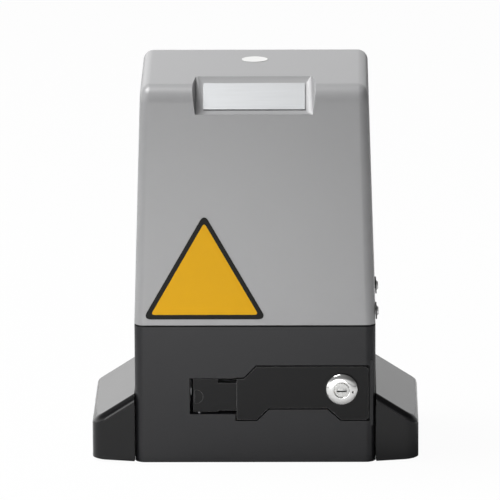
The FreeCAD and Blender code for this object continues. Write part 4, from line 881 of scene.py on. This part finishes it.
def roundedTriangle(name, inset, rounding, front, back):
    # flat and upright in X and Z, between two depths
    left, right = coverPlace["triangleLeft"] * mm, coverPlace["triangleRight"] * mm
    side = right - left
    centreHeight = coverPlace["triangleBase"] * mm + side * math.sqrt(3) / 6
    clearSelection()
    bpy.ops.mesh.primitive_circle_add(vertices=3, radius=side / math.sqrt(3) - 2 * inset,
                                      fill_type="NGON", rotation=(math.radians(90), 0, 0),
                                      location=((left + right) / 2, 0, centreHeight))
    piece = bpy.context.object
    piece.name = name
    applyPlace(piece)
    bpy.ops.object.mode_set(mode="EDIT")
    bpy.ops.mesh.select_all(action="SELECT")
    bpy.ops.mesh.bevel(offset=rounding, segments=8, affect="VERTICES")
    bpy.ops.mesh.select_all(action="SELECT")
    bpy.ops.mesh.extrude_region_move(TRANSFORM_OT_translate={"value": (0, back - front, 0)})
    bpy.ops.mesh.select_all(action="SELECT")
    bpy.ops.transform.translate(value=(0, front, 0))
    bpy.ops.mesh.normals_make_consistent(inside=False)
    bpy.ops.object.mode_set(mode="OBJECT")
    return piece


def layOnFront(piece, skin, low, high):
    # tilt a flat piece so that its Y = 0 plane lies on the front face between two heights
    outside = -300 * mm
    lowPoint = surfacePoint(skin, (0, outside, low), (0, 1, 0))[0]
    highPoint = surfacePoint(skin, (0, outside, high), (0, 1, 0))[0]
    lean = math.atan2(highPoint.y - lowPoint.y, high - low)
    piece.data.transform(Matrix.Translation(Vector((0, 0, -low))))
    piece.data.transform(Matrix.Rotation(-lean, 4, "X"))
    piece.data.transform(Matrix.Translation(Vector((0, lowPoint.y, low))))


def makeWarningTriangle():
    values = coverPlace
    thick, rounding = values["decalThick"] * mm, values["cornerRound"] * mm
    border = roundedTriangle("warningBorder", 0, rounding, -thick, values["decalSink"] * mm)
    field = roundedTriangle("warningField", values["borderWidth"] * mm,
                            rounding * values["fieldRound"],
                            -thick * values["fieldFront"], -thick * values["fieldBack"])
    for piece, color in ((border, values["borderColor"]), (field, values["fieldColor"])):
        layOnFront(piece, skins["top_cover"], values["leanFrom"] * mm, values["leanTo"] * mm)
        dress(piece, mouldedFinish(piece.name + "Print", color, 0.45, grain=0.03, edge=0.0001,
                                   tone=0.04, specular=0.15))
        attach(piece, "housing")


def makeBadge():
    # plain oval with a raised rim, turned to the slope of the top face
    values = coverPlace
    above = (values["badgeX"] * mm, values["badgeDepth"] * mm, 400 * mm)
    top, slant = surfacePoint(skins["top_cover"], above, (0, 0, -1))
    clearSelection()
    bpy.ops.mesh.primitive_cylinder_add(vertices=64, radius=0.5, depth=values["badgeThick"] * mm)
    badge = bpy.context.object
    badge.name = "ovalBadge"
    badge.scale = (values["badgeWide"] * mm, values["badgeLong"] * mm, 1)
    applyPlace(badge)
    bpy.ops.object.mode_set(mode="EDIT")
    selectWhere(badge, "FACE", lambda middle, normal: normal.z > facing)
    bpy.ops.mesh.inset(thickness=values["badgeRim"] * mm)
    bpy.ops.mesh.inset(thickness=values["badgeStep"] * mm)
    bpy.ops.transform.translate(value=(0, 0, -values["badgeSink"] * mm))
    bpy.ops.object.mode_set(mode="OBJECT")
    badge.data.transform(Matrix.Rotation(math.atan2(-slant.y, slant.z), 4, "X"))
    badge.data.transform(Matrix.Translation(top))
    dress(badge, mouldedFinish("badgeWhite", values["badgeColor"], 0.35, edge=0.0002, tone=0.03))
    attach(badge, "housing")


makeWarningTriangle()
makeBadge()
print("decals placed")

studio = {
    "floorSize": 14.0, "floorColor": (0.86, 0.86, 0.86), "floorWhite": 0.965,
    "ambient": 0.22, "leftSide": 1.8, "rightSide": 0.27,
    "overhead": 0.22, "overheadFrom": 0.14, "overheadTo": 0.5,
    "keyPower": 54.0, "keySize": 1.2, "keyPlace": (-0.85, 0.15, 2.2), "keyAim": 0.15,
    "lowPower": 1.7, "lowSize": 0.5, "lowPlace": (-0.12, -0.58, 0.03), "lowAim": 0.05,
    "backPower": 0.8, "backSize": 1.7, "backPlace": (-1.1, 3.0, 0.75), "backAim": 0.15,
}


def anyRay(tree, *names):
    rays = tree.nodes.new("ShaderNodeLightPath")
    total = rays.outputs[names[0]]
    for name in names[1:]:
        larger = tree.nodes.new("ShaderNodeMath")
        larger.operation = "MAXIMUM"
        tree.links.new(total, larger.inputs[0])
        tree.links.new(rays.outputs[name], larger.inputs[1])
        total = larger.outputs[0]
    return total


def makeFloor():
    # pale floor that keeps the shadow, and shows near white to the camera
    clearSelection()
    bpy.ops.mesh.primitive_plane_add(size=studio["floorSize"], location=(0, 0, cadBox[0][2]))
    floor = bpy.context.object
    floor.name = "studioFloor"
    material, tree, shader = newMaterial("paleFloor")
    shader.inputs["Base Color"].default_value = (*studio["floorColor"], 1)
    shader.inputs["Roughness"].default_value = 0.9
    shader.inputs["Specular IOR Level"].default_value = 0.1
    glow = tree.nodes.new("ShaderNodeEmission")
    glow.inputs["Color"].default_value = (1, 1, 1, 1)
    mix = tree.nodes.new("ShaderNodeMixShader")
    amount = tree.nodes.new("ShaderNodeMath")
    amount.operation = "MULTIPLY"
    amount.inputs[1].default_value = studio["floorWhite"]
    tree.links.new(anyRay(tree, "Is Camera Ray"), amount.inputs[0])
    tree.links.new(amount.outputs[0], mix.inputs["Fac"])
    tree.links.new(shader.outputs["BSDF"], mix.inputs[1])
    tree.links.new(glow.outputs["Emission"], mix.inputs[2])
    tree.links.new(mix.outputs["Shader"], tree.nodes["Material Output"].inputs["Surface"])
    floor.data.materials.append(material)


def makeWorld():
    # brighter on the left and low down, and plain white to the camera
    world = bpy.data.worlds.new("studioWorld")
    bpy.context.scene.world = world
    world.use_nodes = True
    tree = world.node_tree
    sky = tree.nodes["Background"]
    sky.inputs["Color"].default_value = (1, 1, 1, 1)
    way = tree.nodes.new("ShaderNodeTexCoord")
    split = tree.nodes.new("ShaderNodeSeparateXYZ")
    sides = tree.nodes.new("ShaderNodeMapRange")
    sides.inputs["From Min"].default_value = -1.0
    sides.inputs["To Min"].default_value = studio["leftSide"]
    sides.inputs["To Max"].default_value = studio["rightSide"]
    lit = tree.nodes.new("ShaderNodeMapRange")
    lit.inputs["To Min"].default_value = studio["ambient"]
    lit.inputs["To Max"].default_value = 1.0
    above = tree.nodes.new("ShaderNodeMapRange")
    above.interpolation_type = "SMOOTHSTEP"
    above.inputs["From Min"].default_value = studio["overheadFrom"]
    above.inputs["From Max"].default_value = studio["overheadTo"]
    above.inputs["To Min"].default_value = 1.0
    above.inputs["To Max"].default_value = studio["overhead"]
    dimmed = tree.nodes.new("ShaderNodeMath")
    dimmed.operation = "MULTIPLY"
    shaded = tree.nodes.new("ShaderNodeMath")
    shaded.operation = "MULTIPLY"
    strength = tree.nodes.new("ShaderNodeMapRange")
    strength.inputs["To Max"].default_value = 1.0
    tree.links.new(way.outputs["Generated"], split.inputs["Vector"])
    tree.links.new(split.outputs["X"], sides.inputs["Value"])
    tree.links.new(anyRay(tree, "Is Glossy Ray", "Is Transmission Ray"), lit.inputs["Value"])
    tree.links.new(split.outputs["Z"], above.inputs["Value"])
    tree.links.new(sides.outputs["Result"], dimmed.inputs[0])
    tree.links.new(above.outputs["Result"], dimmed.inputs[1])
    tree.links.new(dimmed.outputs[0], shaded.inputs[0])
    tree.links.new(lit.outputs["Result"], shaded.inputs[1])
    tree.links.new(shaded.outputs[0], strength.inputs["To Min"])
    tree.links.new(anyRay(tree, "Is Camera Ray"), strength.inputs["Value"])
    tree.links.new(strength.outputs["Result"], sky.inputs["Strength"])


def makeLamp(name):
    spot = studio[name + "Place"]
    clearSelection()
    bpy.ops.object.light_add(type="AREA", location=spot)
    lamp = bpy.context.object
    lamp.name = name + "Lamp"
    lamp.data.energy = studio[name + "Power"]
    lamp.data.shape = "DISK"
    lamp.data.size = studio[name + "Size"]
    lamp.visible_camera = False
    aim = Vector((0, 0, studio[name + "Aim"])) - Vector(spot)
    lamp.rotation_euler = aim.to_track_quat("-Z", "Y").to_euler()


viewpoint = {
    "azimuth": 0.75, "elevation": 13.8, "distance": 5.654, "roll": -0.28,
    "target": (-0.00436, 0.0, 0.14964), "lens": 525.5712, "farthest": 60.0,
}


def makeCamera():
    azimuth = math.radians(viewpoint["azimuth"])
    elevation = math.radians(viewpoint["elevation"])
    back = Vector((math.sin(azimuth) * math.cos(elevation),
                   -math.cos(azimuth) * math.cos(elevation), math.sin(elevation)))
    data = bpy.data.cameras.new("studioCamera")
    camera = bpy.data.objects.new("studioCamera", data)
    bpy.context.scene.collection.objects.link(camera)
    data.lens = viewpoint["lens"]
    data.clip_end = viewpoint["farthest"]
    camera.location = Vector(viewpoint["target"]) + back * viewpoint["distance"]
    facing = (-back).to_track_quat("-Z", "Y").to_matrix().to_4x4()
    roll = Matrix.Rotation(math.radians(viewpoint["roll"]), 4, "Z")
    camera.rotation_euler = (facing @ roll).to_euler()
    bpy.context.scene.camera = camera


makeFloor()
makeWorld()
for lampName in ("key", "low", "back"):
    makeLamp(lampName)
makeCamera()
bpy.context.scene.view_settings.view_transform = "Standard"
print("floor, light and camera ready")
